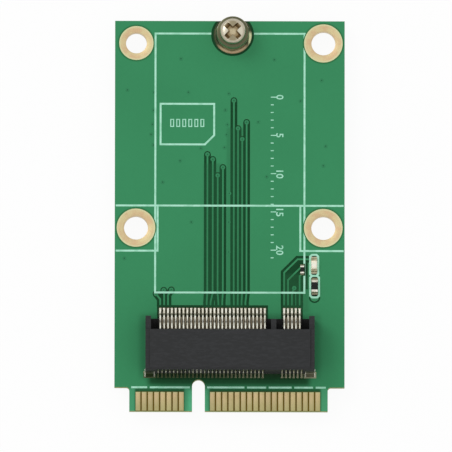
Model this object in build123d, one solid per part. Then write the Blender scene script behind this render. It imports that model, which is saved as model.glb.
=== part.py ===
from build123d import *
import os

# A full-length mini card that carries a 75-position module socket, a standoff for a 42 mm
# module and, on its back, a holder for a small subscriber card.
# Sizes are in millimetres. X runs across the card, Y from the edge tab to the standoff and
# Z is up from the board's lower face. The origin is on the board's middle line, at the end
# of the edge tab.

# Board
board_length = 50.95
board_thickness = 1.0
left_shoulder = 1.93             # from the board's edge to the tab's
right_shoulder = 2.17
tab_height = 3.1
shoulder_radius = 0.4
key_notch_width = 1.65
key_notch_depth = 4.12
key_notch_shift = 0.2            # off the middle of the gap between the contacts
copper = 0.035
cut_over = 0.5                   # how far a cutting shape runs past the face it opens

# Edge contacts of the card, alike on both faces but half a pitch apart
finger_pitch = 0.8
finger_width = 0.6
finger_end = 2.48
finger_left_margin = 0.82        # from the tab's edge to the first contact
finger_right_margin = 0.98
fingers_left_of_key = 8
fingers_right_of_key = 18
fingers_left_out = 4
finger_edge_gap = 0.05

# Mounting holes: a top pair, and the pair of a half-length card
hole_side_inset = 2.75
hole_inset = 2.9
half_length = 26.8
hole_diameter = 3.1
ring_diameter = 5.0
small_hole_diameter = 2.7
small_ring_diameter = 4.45
barrel_wall = 0.05

# Module that the socket takes
module_thickness = 0.8
module_height = 2.45             # its lower face above the board
module_stop_y = 7.15             # its contact edge, 42 mm from the standoff's axis

# Standoff, its plated notch and its screw
standoff_x = 0.35
standoff_inset = 1.8
standoff_diameter = 4.14
standoff_edge = 0.12
notch_gap = 0.2
notch_pad_width = 0.2
notch_pad_clearance = 0.3
solder_rise = 0.3
solder_reach = 0.1
solder_start_angle = 155
solder_sweep = 230
screw_diameter = 2.0
screw_length = 3.0
screw_tip = 0.2
head_diameter = 3.38
head_height = 1.15
head_rim_height = 0.4
head_shoulder_diameter = 2.76
head_shoulder_height = 0.9
head_flat_diameter = 1.5
recess_length = 2.5
recess_width = 0.56
recess_depth = 0.75
recess_foot_length = 1.5
recess_turn = 45

# Socket positions
socket_x = 0.05
position_count = 75
first_keyed_number = 12
last_keyed_number = 19
half_pitch = 0.25

# Socket housing, heights above the board
socket_width = 21.8
socket_height = 4.2
socket_rear = 4.85
socket_front = 11.95
cover_front = 10.1
cover_edge = 0.3
end_step = 0.15
end_step_width = 0.55
cheek_height = 3.7
cheek_chamfer = 0.35
mouth_width = 20.4
mouth_floor = 2.1
mouth_play = 0.25                # room above the module inside the mouth
mouth_lead_in = 0.3
mouth_lead_length = 0.6
side_pocket_from = 9.3
side_pocket_rear = 8.6
pocket_floor = 0.6
key_pocket_width = 2.06
key_rib_width = 0.7
key_rib_front = 11.55
post_spacing = 19.4
post_y = 7.6
post_diameters = (1.6, 1.1)
post_length = 0.8
post_play = 0.05
post_chamfer = 0.15

# Socket contacts
contact_width = 0.24
contact_thickness = 0.15
contact_play = 0.04
contact_crease = 0               # inner radius of its sharp bends
lower_slot_floor = 0.75
lower_slot_rear = 7.7
lower_foot_tip = 13.31
lower_foot_heel = 12.65
lower_shoulder = 12.25
lower_fold_y = 7.95
lower_fold_height = 1.6
lower_point_y = 10.55
lower_point_height = 2.55
lower_point_flat = 0.3
lower_end_y = 11.25
lower_end_height = 2.15
upper_foot_tip = 4.35
upper_groove_depth = 0.4
upper_arm_height = 3.3
upper_point_y = 8.9
upper_point_height = 3.22
upper_end_y = 9.5
upper_end_height = 3.55
upper_channel_front = 9.75
upper_channel_floor = 3.05
upper_channel_roof = 3.9

# Socket solder pads and hold-down tabs
pad_width = 0.3
front_pad_from = 12.6
front_pad_to = 13.45
front_bare_to = 13.8
rear_pad_from = 4.32
rear_bare_from = 4.1
bare_margin = 0.42
tab_spacing = 20.7
tab_foot_width = 1.3
tab_thickness = 0.2
tab_tip = 4.45
tab_depth = 0.3
tab_rise = 2.2
tab_play = 0.02
tab_bend = 0.3
tab_pad_margin = 0.15

# Copper lines of the upper face
trace_width = 0.22
trace_gap = 0.33
trace_jog_from = 15.4
trace_jog_to = 14.2
trace_end = 13.7
via_pad_radius = 0.3
via_gap = 0.14
via_sides = 12
long_traces = (                  # line x, and its top end's distance below the standoff
    (-2.88, 15.65), (-2.19, 16.3), (-1.55, 18.4), (-0.88, 17.35),
    (0.53, 8.6), (1.07, 12.25), (1.61, 13.65), (2.18, 11.45),
)
long_trace_numbers = (50, 48, 44, 42, 36, 34, 32, 30)
short_traces = ((-9.5, 15.27), (-8.5, 15.75), (-7.52, 15.8))
short_trace_numbers = (74, 72, 70)
short_trace_bend = 0.7
lamp_trace_entry = 19.82
lamp_trace_number = 10
pull_trace_number = 8
stub_trace_top = (8.35, 16.05)
stub_trace_number = 6
feed_trace_number = 2
corner_field_bottom = 15.9
corner_field_inset = 0.81        # from the lamp's middle to the field's edge
pad_arc_radius = 0.65
pad_arc_y = 14.87
pad_arc_width = 0.2

# Printed lines
print_height = 0.02
print_width = 0.25
print_keep_out = 0.12
outline_inset_left = 5.23        # from the board's edges
outline_inset_right = 5.19
outline_inset_top = 1.65
outline_bottom = 15.45
ring_box_inset_left = 5.54
ring_box_inset_right = 5.72
ring_box_bottom = 20.9
shoulder_line_y = 3.08
shoulder_line_inset = 0.24
shoulder_breaks = (2.47, 15.02, 17.82, 21.12, 23.88)    # from the tab's left edge
shoulder_break_width = 0.34
shoulder_notch_gap = 0.28
card_mark_inset = 0.67           # from the outline's left side
card_mark_width = 6.93
card_mark_height = 5.3
card_mark_drop = 9.05            # below the standoff
card_mark_corner = 1.2

# Lamp and resistors, long side along Y
lamp_inset = 3.93                # from the board's right edge
lamp_y = 19.05
lamp_length = 1.6
lamp_width = 0.8
lamp_base_height = 0.25
lamp_lens_height = 0.35
lamp_lens_length = 1.15
lamp_lens_taper = 10
lamp_terminal = 0.25
lamp_box = (1.3, 3.0)
lamp_box_y = 19.03
box_corner = 0.3
resistor_shift = 0.06            # to the right of the lamp
resistor_y = 16.3
resistor_size = (0.8, 1.6, 0.45)
resistor_box = (1.4, 3.05)
resistor_box_y = 16.255
small_resistor_shift = -1.54
small_resistor_y = 18.45
small_resistor_size = (0.5, 1.0, 0.33)
terminal_share = 0.2             # each terminal's part of a resistor's length
terminal_wall = 0.04
coating_height = 0.03
component_pad_reach = 0.35       # how far a pad runs past its terminal
component_pad_cover = 0.4        # and how far it runs beneath it
fillet_share = 0.75
fillet_sag = 0.12

# Subscriber card holder on the back, depths below the board
holder_inset = 1.35              # from the board's left edge
holder_ring_gap = 0.575          # between its pads and the top left ring
holder_length = 16.4
holder_width = 14.4
holder_depth = 1.35
shell_thickness = 0.15
shell_bend = 0.25
shell_foot_reach = 0.7
shell_foot_length = 2.0
shell_foot_inset = 1.4
shell_window = (4.6, 9.6)
shell_window_corner = 0.5
shell_mouth_cut = (1.6, 7.0)
insert_thickness = 0.45
insert_stop_length = 0.9
insert_rail_width = 0.5
card_corner_cut = 2.2
spring_pitch = 2.54
spring_row_spacing = 7.62
spring_width = 1.0
spring_thickness = 0.12
spring_bend = 0.3
spring_rise_from = 1.9
spring_point_depth = 1.0
spring_tip_length = 0.6
spring_tip_depth = 0.75
spring_foot_reach = 0.7
spring_window = (3.6, 1.3)
spring_window_from = 1.5
spring_play = 0.03
holder_pad_margin = 0.15

board_top = board_thickness
finger_count = fingers_left_of_key + fingers_left_out + fingers_right_of_key
finger_span = (finger_count - 1) * finger_pitch + finger_width
tab_width = finger_left_margin + finger_span + finger_right_margin
board_width = left_shoulder + tab_width + right_shoulder
board_right = board_width / 2
board_left = -board_right
tab_left = board_left + left_shoulder
tab_right = board_right - right_shoulder
finger_first_x = tab_left + finger_left_margin + finger_width / 2
key_gap_middle = finger_first_x + (fingers_left_of_key + (fingers_left_out - 1) / 2) * finger_pitch
key_notch_x = key_gap_middle + key_notch_shift
hole_top_y = board_length - hole_inset
hole_middle_y = half_length - hole_inset
standoff_y = board_length - standoff_inset
standoff_top = board_top + module_height
notch_radius = standoff_diameter / 2 + notch_gap
outline_left = board_left + outline_inset_left
outline_right = board_right - outline_inset_right
lamp_x = board_right - lamp_inset
resistor_x = lamp_x + resistor_shift
small_resistor_x = lamp_x + small_resistor_shift
holder_back = board_left + holder_inset
holder_x = holder_back + holder_length / 2
holder_reach = holder_width / 2 + shell_foot_reach + holder_pad_margin
holder_y = hole_top_y - small_ring_diameter / 2 - holder_ring_gap - holder_reach


def save(shape, name):
    export_step(shape, "parts/" + name + ".step")


def group(shapes):
    return Compound(children=[solid for shape in shapes for solid in shape.solids()])


def span(x_range, y_range):
    # Flat rectangle between two X values and two Y values
    centre = ((x_range[0] + x_range[1]) / 2, (y_range[0] + y_range[1]) / 2)
    return Location(centre) * Rectangle(x_range[1] - x_range[0], y_range[1] - y_range[0])


def facing_up(wire):
    face = Face(wire)
    return face if face.normal_at().Z > 0 else -face


def stroke(points, width):
    # Line of even width with mitred corners: an open one ends square, a closed one keeps
    # its middle open
    line = Polyline(*points).wire()
    half = width / 2
    if line.is_closed:
        outer = facing_up(line.offset_2d(half, kind=Kind.INTERSECTION))
        inner = facing_up(line.offset_2d(-half, kind=Kind.INTERSECTION))
        return Sketch() + outer - inner
    halves = [
        facing_up(line.offset_2d(half, kind=Kind.INTERSECTION, side=side, closed=True))
        for side in (Side.LEFT, Side.RIGHT)
    ]
    return Sketch() + halves


def raised(sketch, height, thickness):
    return extrude(Location((0, 0, height)) * sketch, amount=thickness)


def disc(x, y, radius):
    return Location((x, y)) * Circle(radius)


def bent_strip(path, bends, thickness, width, plane, side):
    # Formed strip: the path is one face of the metal seen from its edge, with one bend
    # radius for each corner
    line = FilletPolyline(*path, radius=bends)
    outline = line.wire().offset_2d(thickness, kind=Kind.INTERSECTION, side=side, closed=True)
    return extrude(plane * Face(outline), amount=width / 2, both=True)


# Board and its copper

def hole_places():
    left = board_left + hole_side_inset
    right = board_right - hole_side_inset
    return {
        "top_left": (left, hole_top_y, small_hole_diameter, small_ring_diameter),
        "top_right": (right, hole_top_y, hole_diameter, ring_diameter),
        "middle_left": (left, hole_middle_y, hole_diameter, ring_diameter),
        "middle_right": (right, hole_middle_y, hole_diameter, ring_diameter),
    }


def position_x(number):
    middle = (position_count + 1) / 2
    return socket_x + (middle - number) * half_pitch


def positions(first, last, remainder):
    return [n for n in range(first, last + 1) if n % 2 == remainder]


def short_row(remainder):
    return positions(1, first_keyed_number - 1, remainder)


def long_row(remainder):
    return positions(last_keyed_number + 1, position_count, remainder)


def board_outline():
    outline = Polygon(
        (tab_left, 0), (tab_right, 0), (tab_right, tab_height), (board_right, tab_height),
        (board_right, board_length), (board_left, board_length), (board_left, tab_height),
        (tab_left, tab_height), align=None,
    )
    corners = outline.vertices().group_by(Axis.Y)[1].sort_by(Axis.X)
    outline = fillet(corners[1:3], shoulder_radius)
    notch = Location((key_notch_x, 0)) * SlotOverall(key_notch_depth * 2, key_notch_width, 90)
    return outline - notch


def via_places():
    # Top ends of the lines that go down through the board
    long_tops = [(x, standoff_y - drop) for x, drop in long_traces]
    return long_tops + list(short_traces) + [stub_trace_top]


def trace_paths():
    paths = []
    for (x, drop), number in zip(long_traces, long_trace_numbers):
        target = position_x(number)
        paths.append([(x, standoff_y - drop), (x, trace_jog_from), (target, trace_jog_to),
                      (target, trace_end)])
    short = zip(short_traces + (stub_trace_top,), short_trace_numbers + (stub_trace_number,))
    for (x, top), number in short:
        target = position_x(number)
        paths.append([(x, top), (target, top - short_trace_bend), (target, trace_end)])
    return paths


def component_trace_paths():
    # Lines from the lamp and from both ends of the small resistor
    start = lamp_x - lamp_width / 2
    target = position_x(lamp_trace_number)
    run = (start - target) / 2
    lamp_path = [
        (start, lamp_trace_entry), (start - run, lamp_trace_entry),
        (target, lamp_trace_entry - run), (target, trace_end),
    ]
    half = small_resistor_size[1] / 2
    paths = [lamp_path]
    for number, end in ((pull_trace_number, 1), (feed_trace_number, -1)):
        target = position_x(number)
        top = small_resistor_y + end * half
        run = small_resistor_x - target
        paths.append([(small_resistor_x, top), (target, top - run), (target, trace_end)])
    return paths


def corner_field():
    # Bare ground from the lamp's line down past the small resistor
    lamp_path = component_trace_paths()[0]
    right = lamp_x - corner_field_inset
    low = corner_field_bottom
    last = position_x(feed_trace_number) + trace_width / 2 + trace_gap
    return Polygon(
        (right, lamp_trace_entry), lamp_path[1], lamp_path[2], (lamp_path[2][0], low),
        (last, low - (right - last)), (last, low), (right, low), align=None,
    )


def bare_fields():
    # Places beneath the socket's feet where the copper sheet is cut back
    fields = Sketch()
    for numbers in (short_row(0), long_row(0)):
        xs = [position_x(n) for n in numbers]
        edges = (min(xs) - bare_margin, max(xs) + bare_margin)
        fields += span(edges, (socket_front, front_bare_to))
    xs = [position_x(n) for n in short_row(1) + long_row(1)]
    edges = (min(xs) - bare_margin, max(xs) + bare_margin)
    return fields + span(edges, (rear_bare_from, socket_rear))


def box_places():
    return ((lamp_x, lamp_box_y, lamp_box), (resistor_x, resistor_box_y, resistor_box))


def copper_gaps():
    # Etched gaps: wide strokes less the lines that stay, and the bare places
    paths = trace_paths() + component_trace_paths()
    outer = Sketch() + [stroke(path, trace_width + trace_gap * 2) for path in paths]
    inner = Sketch() + [stroke(path, trace_width) for path in paths]
    for place in via_places():
        outer += Location(place) * RegularPolygon(via_pad_radius + via_gap, via_sides)
        inner += Location(place) * RegularPolygon(via_pad_radius, via_sides)
    gaps = outer + corner_field() - inner
    for x, y, size in box_places():
        gaps += Location((x, y)) * Rectangle(size[0] - print_width * 2, size[1] - print_width * 2)
    arc = disc(resistor_x, pad_arc_y, pad_arc_radius + pad_arc_width / 2)
    arc -= disc(resistor_x, pad_arc_y, pad_arc_radius - pad_arc_width / 2)
    reach = pad_arc_radius * 2
    arc &= span((resistor_x - reach, resistor_x + reach), (pad_arc_y - reach, pad_arc_y))
    pad_edge = notch_radius + notch_pad_width
    ring = disc(standoff_x, standoff_y, pad_edge + notch_pad_clearance)
    return gaps + bare_fields() + arc + (ring - disc(standoff_x, standoff_y, pad_edge))


def front_pads():
    return [
        span((position_x(n) - pad_width / 2, position_x(n) + pad_width / 2),
             (front_pad_from, front_pad_to))
        for n in short_row(0) + long_row(0)
    ]


def rear_pads():
    return [
        span((position_x(n) - pad_width / 2, position_x(n) + pad_width / 2),
             (rear_pad_from, socket_rear))
        for n in short_row(1) + long_row(1)
    ]


def hold_down_places():
    return (socket_x - tab_spacing / 2, socket_x + tab_spacing / 2)


def hold_down_pads():
    half = tab_foot_width / 2 + tab_pad_margin
    return [
        span((x - half, x + half), (tab_tip - tab_pad_margin, socket_rear + tab_depth))
        for x in hold_down_places()
    ]


def components():
    return (
        (lamp_x, lamp_y, lamp_width, lamp_length, lamp_base_height),
        (resistor_x, resistor_y) + resistor_size,
        (small_resistor_x, small_resistor_y) + small_resistor_size,
    )


def component_pads():
    pads = []
    for x, y, width, length, height in components():
        half = length / 2
        inward = width * component_pad_cover
        outward = width * component_pad_reach
        for end in (-1, 1):
            edges = sorted((y + end * (half - inward), y + end * (half + outward)))
            pads.append(span((x - width / 2, x + width / 2), edges))
    return pads


def holder_foot_xs():
    return (
        holder_back + shell_foot_inset + shell_foot_length / 2,
        holder_back + holder_length - shell_foot_inset - shell_foot_length / 2,
    )


def holder_pads():
    pads = []
    for x in holder_foot_xs():
        half = shell_foot_length / 2 + holder_pad_margin
        for end in (-1, 1):
            edges = sorted((holder_y + end * holder_width / 2, holder_y + end * holder_reach))
            pads.append(span((x - half, x + half), edges))
    for end in (-1, 1):
        inner = holder_x + end * holder_length / 2
        outer = inner + end * (spring_foot_reach + holder_pad_margin)
        half = spring_width / 2 + holder_pad_margin
        for row in (-1, 0, 1):
            y = holder_y + row * spring_pitch
            pads.append(span(sorted((inner, outer)), (y - half, y + half)))
    return pads


def circuit_board():
    board = raised(board_outline(), 0, board_thickness)
    openings = disc(standoff_x, standoff_y, notch_radius + barrel_wall)
    for x, y, hole, ring in hole_places().values():
        openings += disc(x, y, hole / 2 + barrel_wall)
    for x, diameter in zip(post_places(), post_diameters):
        openings += disc(x, post_y, diameter / 2 + post_play)
    board -= raised(openings, -cut_over, board_thickness + cut_over * 2)
    top_cuts = copper_gaps() + hold_down_pads() + component_pads()
    board -= raised(top_cuts, board_top - copper, copper + cut_over)
    back_cuts = Sketch() + holder_pads()
    board -= raised(back_cuts, -cut_over, copper + cut_over)
    save(board, "circuit_board")


def pads(sketches, height, name):
    save(group([raised(sketch, height, copper) for sketch in sketches]), name)


def plated_ring(x, y, wall_radius, ring_radius):
    # Barrel with a flat ring on each face, turned about the hole's axis
    outer = wall_radius + barrel_wall
    section = Polygon(
        (wall_radius, -copper), (ring_radius, -copper), (ring_radius, 0), (outer, 0),
        (outer, board_top), (ring_radius, board_top), (ring_radius, board_top + copper),
        (wall_radius, board_top + copper), align=None,
    )
    return Location((x, y, 0)) * revolve(Plane.XZ * section, Axis.Z)


def hole_platings():
    for name, (x, y, hole, ring) in hole_places().items():
        save(plated_ring(x, y, hole / 2, ring / 2), "hole_ring_" + name)


def notch_plating():
    ring = plated_ring(standoff_x, standoff_y, notch_radius, notch_radius + notch_pad_width)
    reach = standoff_diameter * 2
    inside = span((standoff_x - reach, standoff_x + reach), (standoff_y - reach, board_length))
    save(ring & raised(inside, -cut_over, board_thickness + cut_over * 2), "standoff_pad")


def finger_places(first_x):
    skipped = fingers_left_of_key + fingers_left_out
    numbers = list(range(fingers_left_of_key))
    numbers += range(skipped, skipped + fingers_right_of_key)
    return [first_x + n * finger_pitch for n in numbers]


def edge_fingers():
    faces = {
        "edge_fingers_top": (finger_first_x, board_top),
        "edge_fingers_back": (finger_first_x + finger_pitch / 2, -copper),
    }
    for name, (first_x, height) in faces.items():
        rows = [
            span((x - finger_width / 2, x + finger_width / 2), (finger_edge_gap, finger_end))
            for x in finger_places(first_x)
        ]
        pads(rows, height, name)


# Printed lines

def cornered_frame(x, y, size):
    # Frame with cut corners, both of them one line width apart
    inner_corner = box_corner - print_width / 2
    outer = Rectangle(*size)
    inner = Rectangle(size[0] - print_width * 2, size[1] - print_width * 2)
    outer = chamfer(outer.vertices(), box_corner)
    return Location((x, y)) * (outer - chamfer(inner.vertices(), inner_corner))


def shoulder_line():
    # Broken line along the tab, clear of the key notch
    edges = (shoulder_line_y - print_width / 2, shoulder_line_y + print_width / 2)
    line = span((tab_left + shoulder_line_inset, tab_right - shoulder_line_inset), edges)
    for distance in shoulder_breaks:
        middle = tab_left + distance
        half = shoulder_break_width / 2
        line -= span((middle - half, middle + half), edges)
    half = key_notch_width / 2 + shoulder_notch_gap
    return line - span((key_notch_x - half, key_notch_x + half), edges)


def printed_lines():
    side = board_right - print_width / 2
    outline_top = board_length - outline_inset_top
    box_left = board_left + ring_box_inset_left
    box_right = board_right - ring_box_inset_right
    mark_left = outline_left + card_mark_inset
    mark_right = mark_left + card_mark_width
    mark_top = standoff_y - card_mark_drop
    mark_bottom = mark_top - card_mark_height
    lines = [
        [(-side, half_length), (side, half_length)],
        [(-side, ring_box_bottom), (box_left, ring_box_bottom), (box_left, half_length)],
        [(side, ring_box_bottom), (box_right, ring_box_bottom), (box_right, half_length)],
        [
            (outline_left, outline_bottom), (outline_right, outline_bottom),
            (outline_right, outline_top), (outline_left, outline_top),
            (outline_left, outline_bottom),
        ],
        [
            (mark_left, mark_bottom), (mark_right - card_mark_corner, mark_bottom),
            (mark_right, mark_bottom + card_mark_corner), (mark_right, mark_top),
            (mark_left, mark_top), (mark_left, mark_bottom),
        ],
    ]
    drawing = Sketch()
    for points in lines:
        drawing += stroke(points, print_width)
    drawing += shoulder_line()
    keep_out = disc(standoff_x, standoff_y, notch_radius + notch_pad_width + notch_pad_clearance)
    for x, y, hole, ring in hole_places().values():
        keep_out += disc(x, y, ring / 2 + print_keep_out)
    for x, y, width, length, height in components():
        reach = width * component_pad_reach + print_keep_out
        half_x = width / 2 + print_keep_out
        half_y = length / 2 + reach
        keep_out += span((x - half_x, x + half_x), (y - half_y, y + half_y))
    drawing -= keep_out
    drawing += [cornered_frame(x, y, size) for x, y, size in box_places()]
    save(group([raised(drawing, board_top, print_height)]), "printed_lines")


# Socket

def post_places():
    return (socket_x - post_spacing / 2, socket_x + post_spacing / 2)


def side_block(points, x_from, x_to):
    # Side view in Y and height above the board, run along X
    placed = [(y, board_top + height) for y, height in points]
    face = Polygon(*placed, align=None)
    return extrude(Plane.YZ.offset(x_from) * face, amount=x_to - x_from)


def side_box(x_range, y_range, height_range):
    corners = [
        (y_range[0], height_range[0]), (y_range[1], height_range[0]),
        (y_range[1], height_range[1]), (y_range[0], height_range[1]),
    ]
    return side_block(corners, x_range[0], x_range[1])


def housing_body():
    half = socket_width / 2
    profile = [
        (socket_rear, 0), (socket_front, 0), (socket_front, cheek_height - cheek_chamfer),
        (socket_front - cheek_chamfer, cheek_height), (cover_front, cheek_height),
        (cover_front, socket_height), (socket_rear + cover_edge, socket_height),
        (socket_rear, socket_height - cover_edge),
    ]
    body = side_block(profile, socket_x - half, socket_x + half)
    above = socket_height + cut_over
    for end in (-1, 1):
        edges = sorted((socket_x + end * (half - end_step_width), socket_x + end * (half + cut_over)))
        body -= side_box(edges, (0, socket_front + cut_over), (socket_height - end_step, above))
    return body


def housing_mouth():
    roof = module_height + module_thickness + mouth_play
    beyond = socket_front + cut_over
    above = socket_height + cut_over
    half = mouth_width / 2
    profile = [
        (module_stop_y, mouth_floor), (beyond, mouth_floor), (beyond, above),
        (cover_front, above), (cover_front, roof + mouth_lead_in),
        (cover_front - mouth_lead_length, roof), (module_stop_y, roof),
    ]
    return side_block(profile, socket_x - half, socket_x + half)


def key_middle(remainder):
    low = position_x(first_keyed_number)
    high = position_x(last_keyed_number)
    return (low + high) / 2 + remainder * half_pitch / 2


def housing_pockets():
    beyond = socket_front + cut_over
    heights = (pocket_floor, mouth_floor + cut_over)
    cuts = []
    for end in (-1, 1):
        edges = sorted((socket_x + end * side_pocket_from, socket_x + end * mouth_width / 2))
        cuts.append(side_box(edges, (side_pocket_rear, beyond), heights))
    middle = key_middle(1)
    edges = (middle - key_pocket_width / 2, middle + key_pocket_width / 2)
    cuts.append(side_box(edges, (cover_front, beyond), heights))
    return cuts


def key_rib():
    roof = module_height + module_thickness + mouth_play
    middle = key_middle(0)
    return side_box(
        (middle - key_rib_width / 2, middle + key_rib_width / 2),
        (module_stop_y, key_rib_front), (pocket_floor, roof),
    )


def contact_slots():
    half = contact_width / 2 + contact_play
    beyond = socket_front + cut_over
    lower = [
        (lower_slot_rear, lower_slot_floor), (beyond, lower_slot_floor),
        (beyond, mouth_floor + cut_over), (lower_slot_rear, mouth_floor + cut_over),
    ]
    behind = socket_rear - cut_over
    groove = socket_rear + upper_groove_depth
    upper = [
        (behind, -cut_over), (groove, -cut_over), (groove, upper_channel_floor),
        (upper_channel_front, upper_channel_floor), (upper_channel_front, upper_channel_roof),
        (behind, upper_channel_roof),
    ]
    cuts = []
    for remainder, profile in ((0, lower), (1, upper)):
        for n in short_row(remainder) + long_row(remainder):
            cuts.append(side_block(profile, position_x(n) - half, position_x(n) + half))
    return cuts


def hold_down_pockets():
    half = tab_foot_width / 2 + tab_play
    return [
        side_box((x - half, x + half), (socket_rear - cut_over, socket_rear + tab_depth),
                 (-cut_over, tab_rise))
        for x in hold_down_places()
    ]


def locating_posts():
    posts = []
    for x, diameter in zip(post_places(), post_diameters):
        post = Cylinder(diameter / 2, post_length, align=(Align.CENTER, Align.CENTER, Align.MAX))
        post = chamfer(post.edges().sort_by(Axis.Z)[0], post_chamfer)
        posts.append(Location((x, post_y, board_top)) * post)
    return posts


def socket_housing():
    body = housing_body() - housing_mouth()
    body -= housing_pockets()
    body += key_rib()
    body -= contact_slots()
    body -= hold_down_pockets()
    body += locating_posts()
    save(body, "socket_housing")


def lifted(path):
    return [(y, board_top + height) for y, height in path]


def lower_contact(x):
    path = [
        (lower_foot_tip, 0), (lower_foot_heel, 0), (lower_shoulder, lower_slot_floor),
        (lower_fold_y, lower_slot_floor), (lower_fold_y, lower_fold_height),
        (lower_point_y - lower_point_flat / 2, lower_point_height),
        (lower_point_y + lower_point_flat / 2, lower_point_height),
        (lower_end_y, lower_end_height),
    ]
    bends = [contact_crease] * 6
    return bent_strip(lifted(path), bends, contact_thickness, contact_width,
                      Plane.YZ.offset(x), Side.RIGHT)


def upper_contact(x):
    leg = socket_rear + upper_groove_depth
    path = [
        (upper_foot_tip, 0), (leg, 0), (leg, upper_arm_height),
        (upper_point_y, upper_point_height), (upper_end_y, upper_end_height),
    ]
    bends = [contact_crease] * 3
    return bent_strip(lifted(path), bends, contact_thickness, contact_width,
                      Plane.YZ.offset(x), Side.LEFT)


def socket_contacts():
    rows = {
        "lower_contacts_short": (lower_contact, short_row(0)),
        "lower_contacts_long": (lower_contact, long_row(0)),
        "upper_contacts_short": (upper_contact, short_row(1)),
        "upper_contacts_long": (upper_contact, long_row(1)),
    }
    for name, (make, numbers) in rows.items():
        one = make(0)
        save(group([Location((position_x(n), 0, 0)) * one for n in numbers]), name)


def hold_downs():
    leg = socket_rear + tab_depth
    path = lifted([(tab_tip, 0), (leg, 0), (leg, tab_rise)])
    for name, x in zip(("hold_down_left", "hold_down_right"), hold_down_places()):
        place = Plane.YZ.offset(x)
        tab = bent_strip(path, [tab_bend], tab_thickness, tab_foot_width, place, Side.LEFT)
        save(tab, name)


# Standoff and screw

def turned(section, x, y, z):
    return Location((x, y, z)) * revolve(Plane.XZ * section, Axis.Z)


def standoff():
    outer = standoff_diameter / 2
    bore = screw_diameter / 2
    edge = standoff_edge
    section = Polygon(
        (bore, 0), (outer - edge, 0), (outer, edge), (outer, standoff_top - edge),
        (outer - edge, standoff_top), (bore, standoff_top), align=None,
    )
    save(turned(section, standoff_x, standoff_y, 0), "standoff")


def standoff_solder():
    inner = standoff_diameter / 2
    pad_top = board_top + copper
    reach = notch_radius + solder_reach
    section = Polygon((inner, pad_top + solder_rise), (inner, 0), (notch_radius, 0),
                      (notch_radius, pad_top), (reach, pad_top), align=None)
    ring = revolve(Plane.XZ * section, Axis.Z, revolution_arc=solder_sweep)
    place = Location((standoff_x, standoff_y, 0), (0, 0, solder_start_angle))
    save(place * ring, "standoff_solder")


def standoff_screw():
    head = head_diameter / 2
    flat = head_flat_diameter / 2
    shank = screw_diameter / 2
    section = Polygon(
        (0, -screw_length), (shank - screw_tip, -screw_length), (shank, screw_tip - screw_length),
        (shank, 0), (head, 0), (head, head_rim_height),
        (head_shoulder_diameter / 2, head_shoulder_height), (flat, head_height),
        (0, head_height), align=None,
    )
    body = revolve(Plane.XZ * section, Axis.Z)
    wing = Polygon(
        (-recess_length / 2, head_height + cut_over), (-recess_length / 2, head_height),
        (-recess_foot_length / 2, head_height - recess_depth),
        (recess_foot_length / 2, head_height - recess_depth),
        (recess_length / 2, head_height), (recess_length / 2, head_height + cut_over), align=None,
    )
    bar = extrude(Plane.XZ * wing, amount=recess_width / 2, both=True)
    cross = Location((0, 0, 0), (0, 0, recess_turn)) * (bar + Location((0, 0, 0), (0, 0, 90)) * bar)
    save(Location((standoff_x, standoff_y, standoff_top)) * (body - cross), "standoff_screw")


# Lamp and resistors

def resting_box(x, y, size):
    box = Box(*size, align=(Align.CENTER, Align.CENTER, Align.MIN))
    return Location((x, y, board_top)) * box


def lamp():
    block = lamp_length - lamp_terminal * 2
    save(resting_box(lamp_x, lamp_y, (lamp_width, block, lamp_base_height)), "lamp_base")
    offset = (lamp_length - lamp_terminal) / 2
    size = (lamp_width, lamp_terminal, lamp_base_height)
    ends = [resting_box(lamp_x, lamp_y + end * offset, size) for end in (-1, 1)]
    save(group(ends), "lamp_terminals")
    foot = Location((lamp_x, lamp_y, board_top + lamp_base_height)) * Rectangle(
        lamp_width, lamp_lens_length)
    save(extrude(foot, amount=lamp_lens_height, taper=lamp_lens_taper), "lamp_lens")


def chip_resistor(x, y, size, name):
    # Ceramic core, a folded cap over each end and a coat on top between the caps
    width, length, height = size
    cap = length * terminal_share
    wall = terminal_wall
    core_size = (width - wall * 2, length - wall * 2, height - wall * 2)
    core = Location((0, 0, wall)) * resting_box(x, y, core_size)
    offset = (length - cap) / 2
    caps = [
        resting_box(x, y + end * offset, (width, cap, height)) - core for end in (-1, 1)
    ]
    top = height - wall
    coat_size = (width - wall * 2, length - cap * 2, coating_height)
    coat = Location((0, 0, top)) * resting_box(x, y, coat_size)
    save(core, name + "_core")
    save(group(caps), name + "_caps")
    save(coat, name + "_coat")


def solder_fillets():
    fillets = []
    for x, y, width, length, height in components():
        rise = height * fillet_share
        reach = width * component_pad_reach
        sag = fillet_sag * reach
        line = Polyline((reach, 0), (0, 0), (0, rise))
        curve = ThreePointArc((0, rise), (reach / 2 - sag, rise / 2 - sag), (reach, 0))
        face = make_face(line.edges() + curve.edges())
        wedge = extrude(Plane.YZ * face, amount=width / 2, both=True)
        for turn, end in ((0, 1), (180, -1)):
            fillets.append(Location((x, y + end * length / 2, board_top), (0, 0, turn)) * wedge)
    save(group(fillets), "component_solder")


# Subscriber card holder

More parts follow.
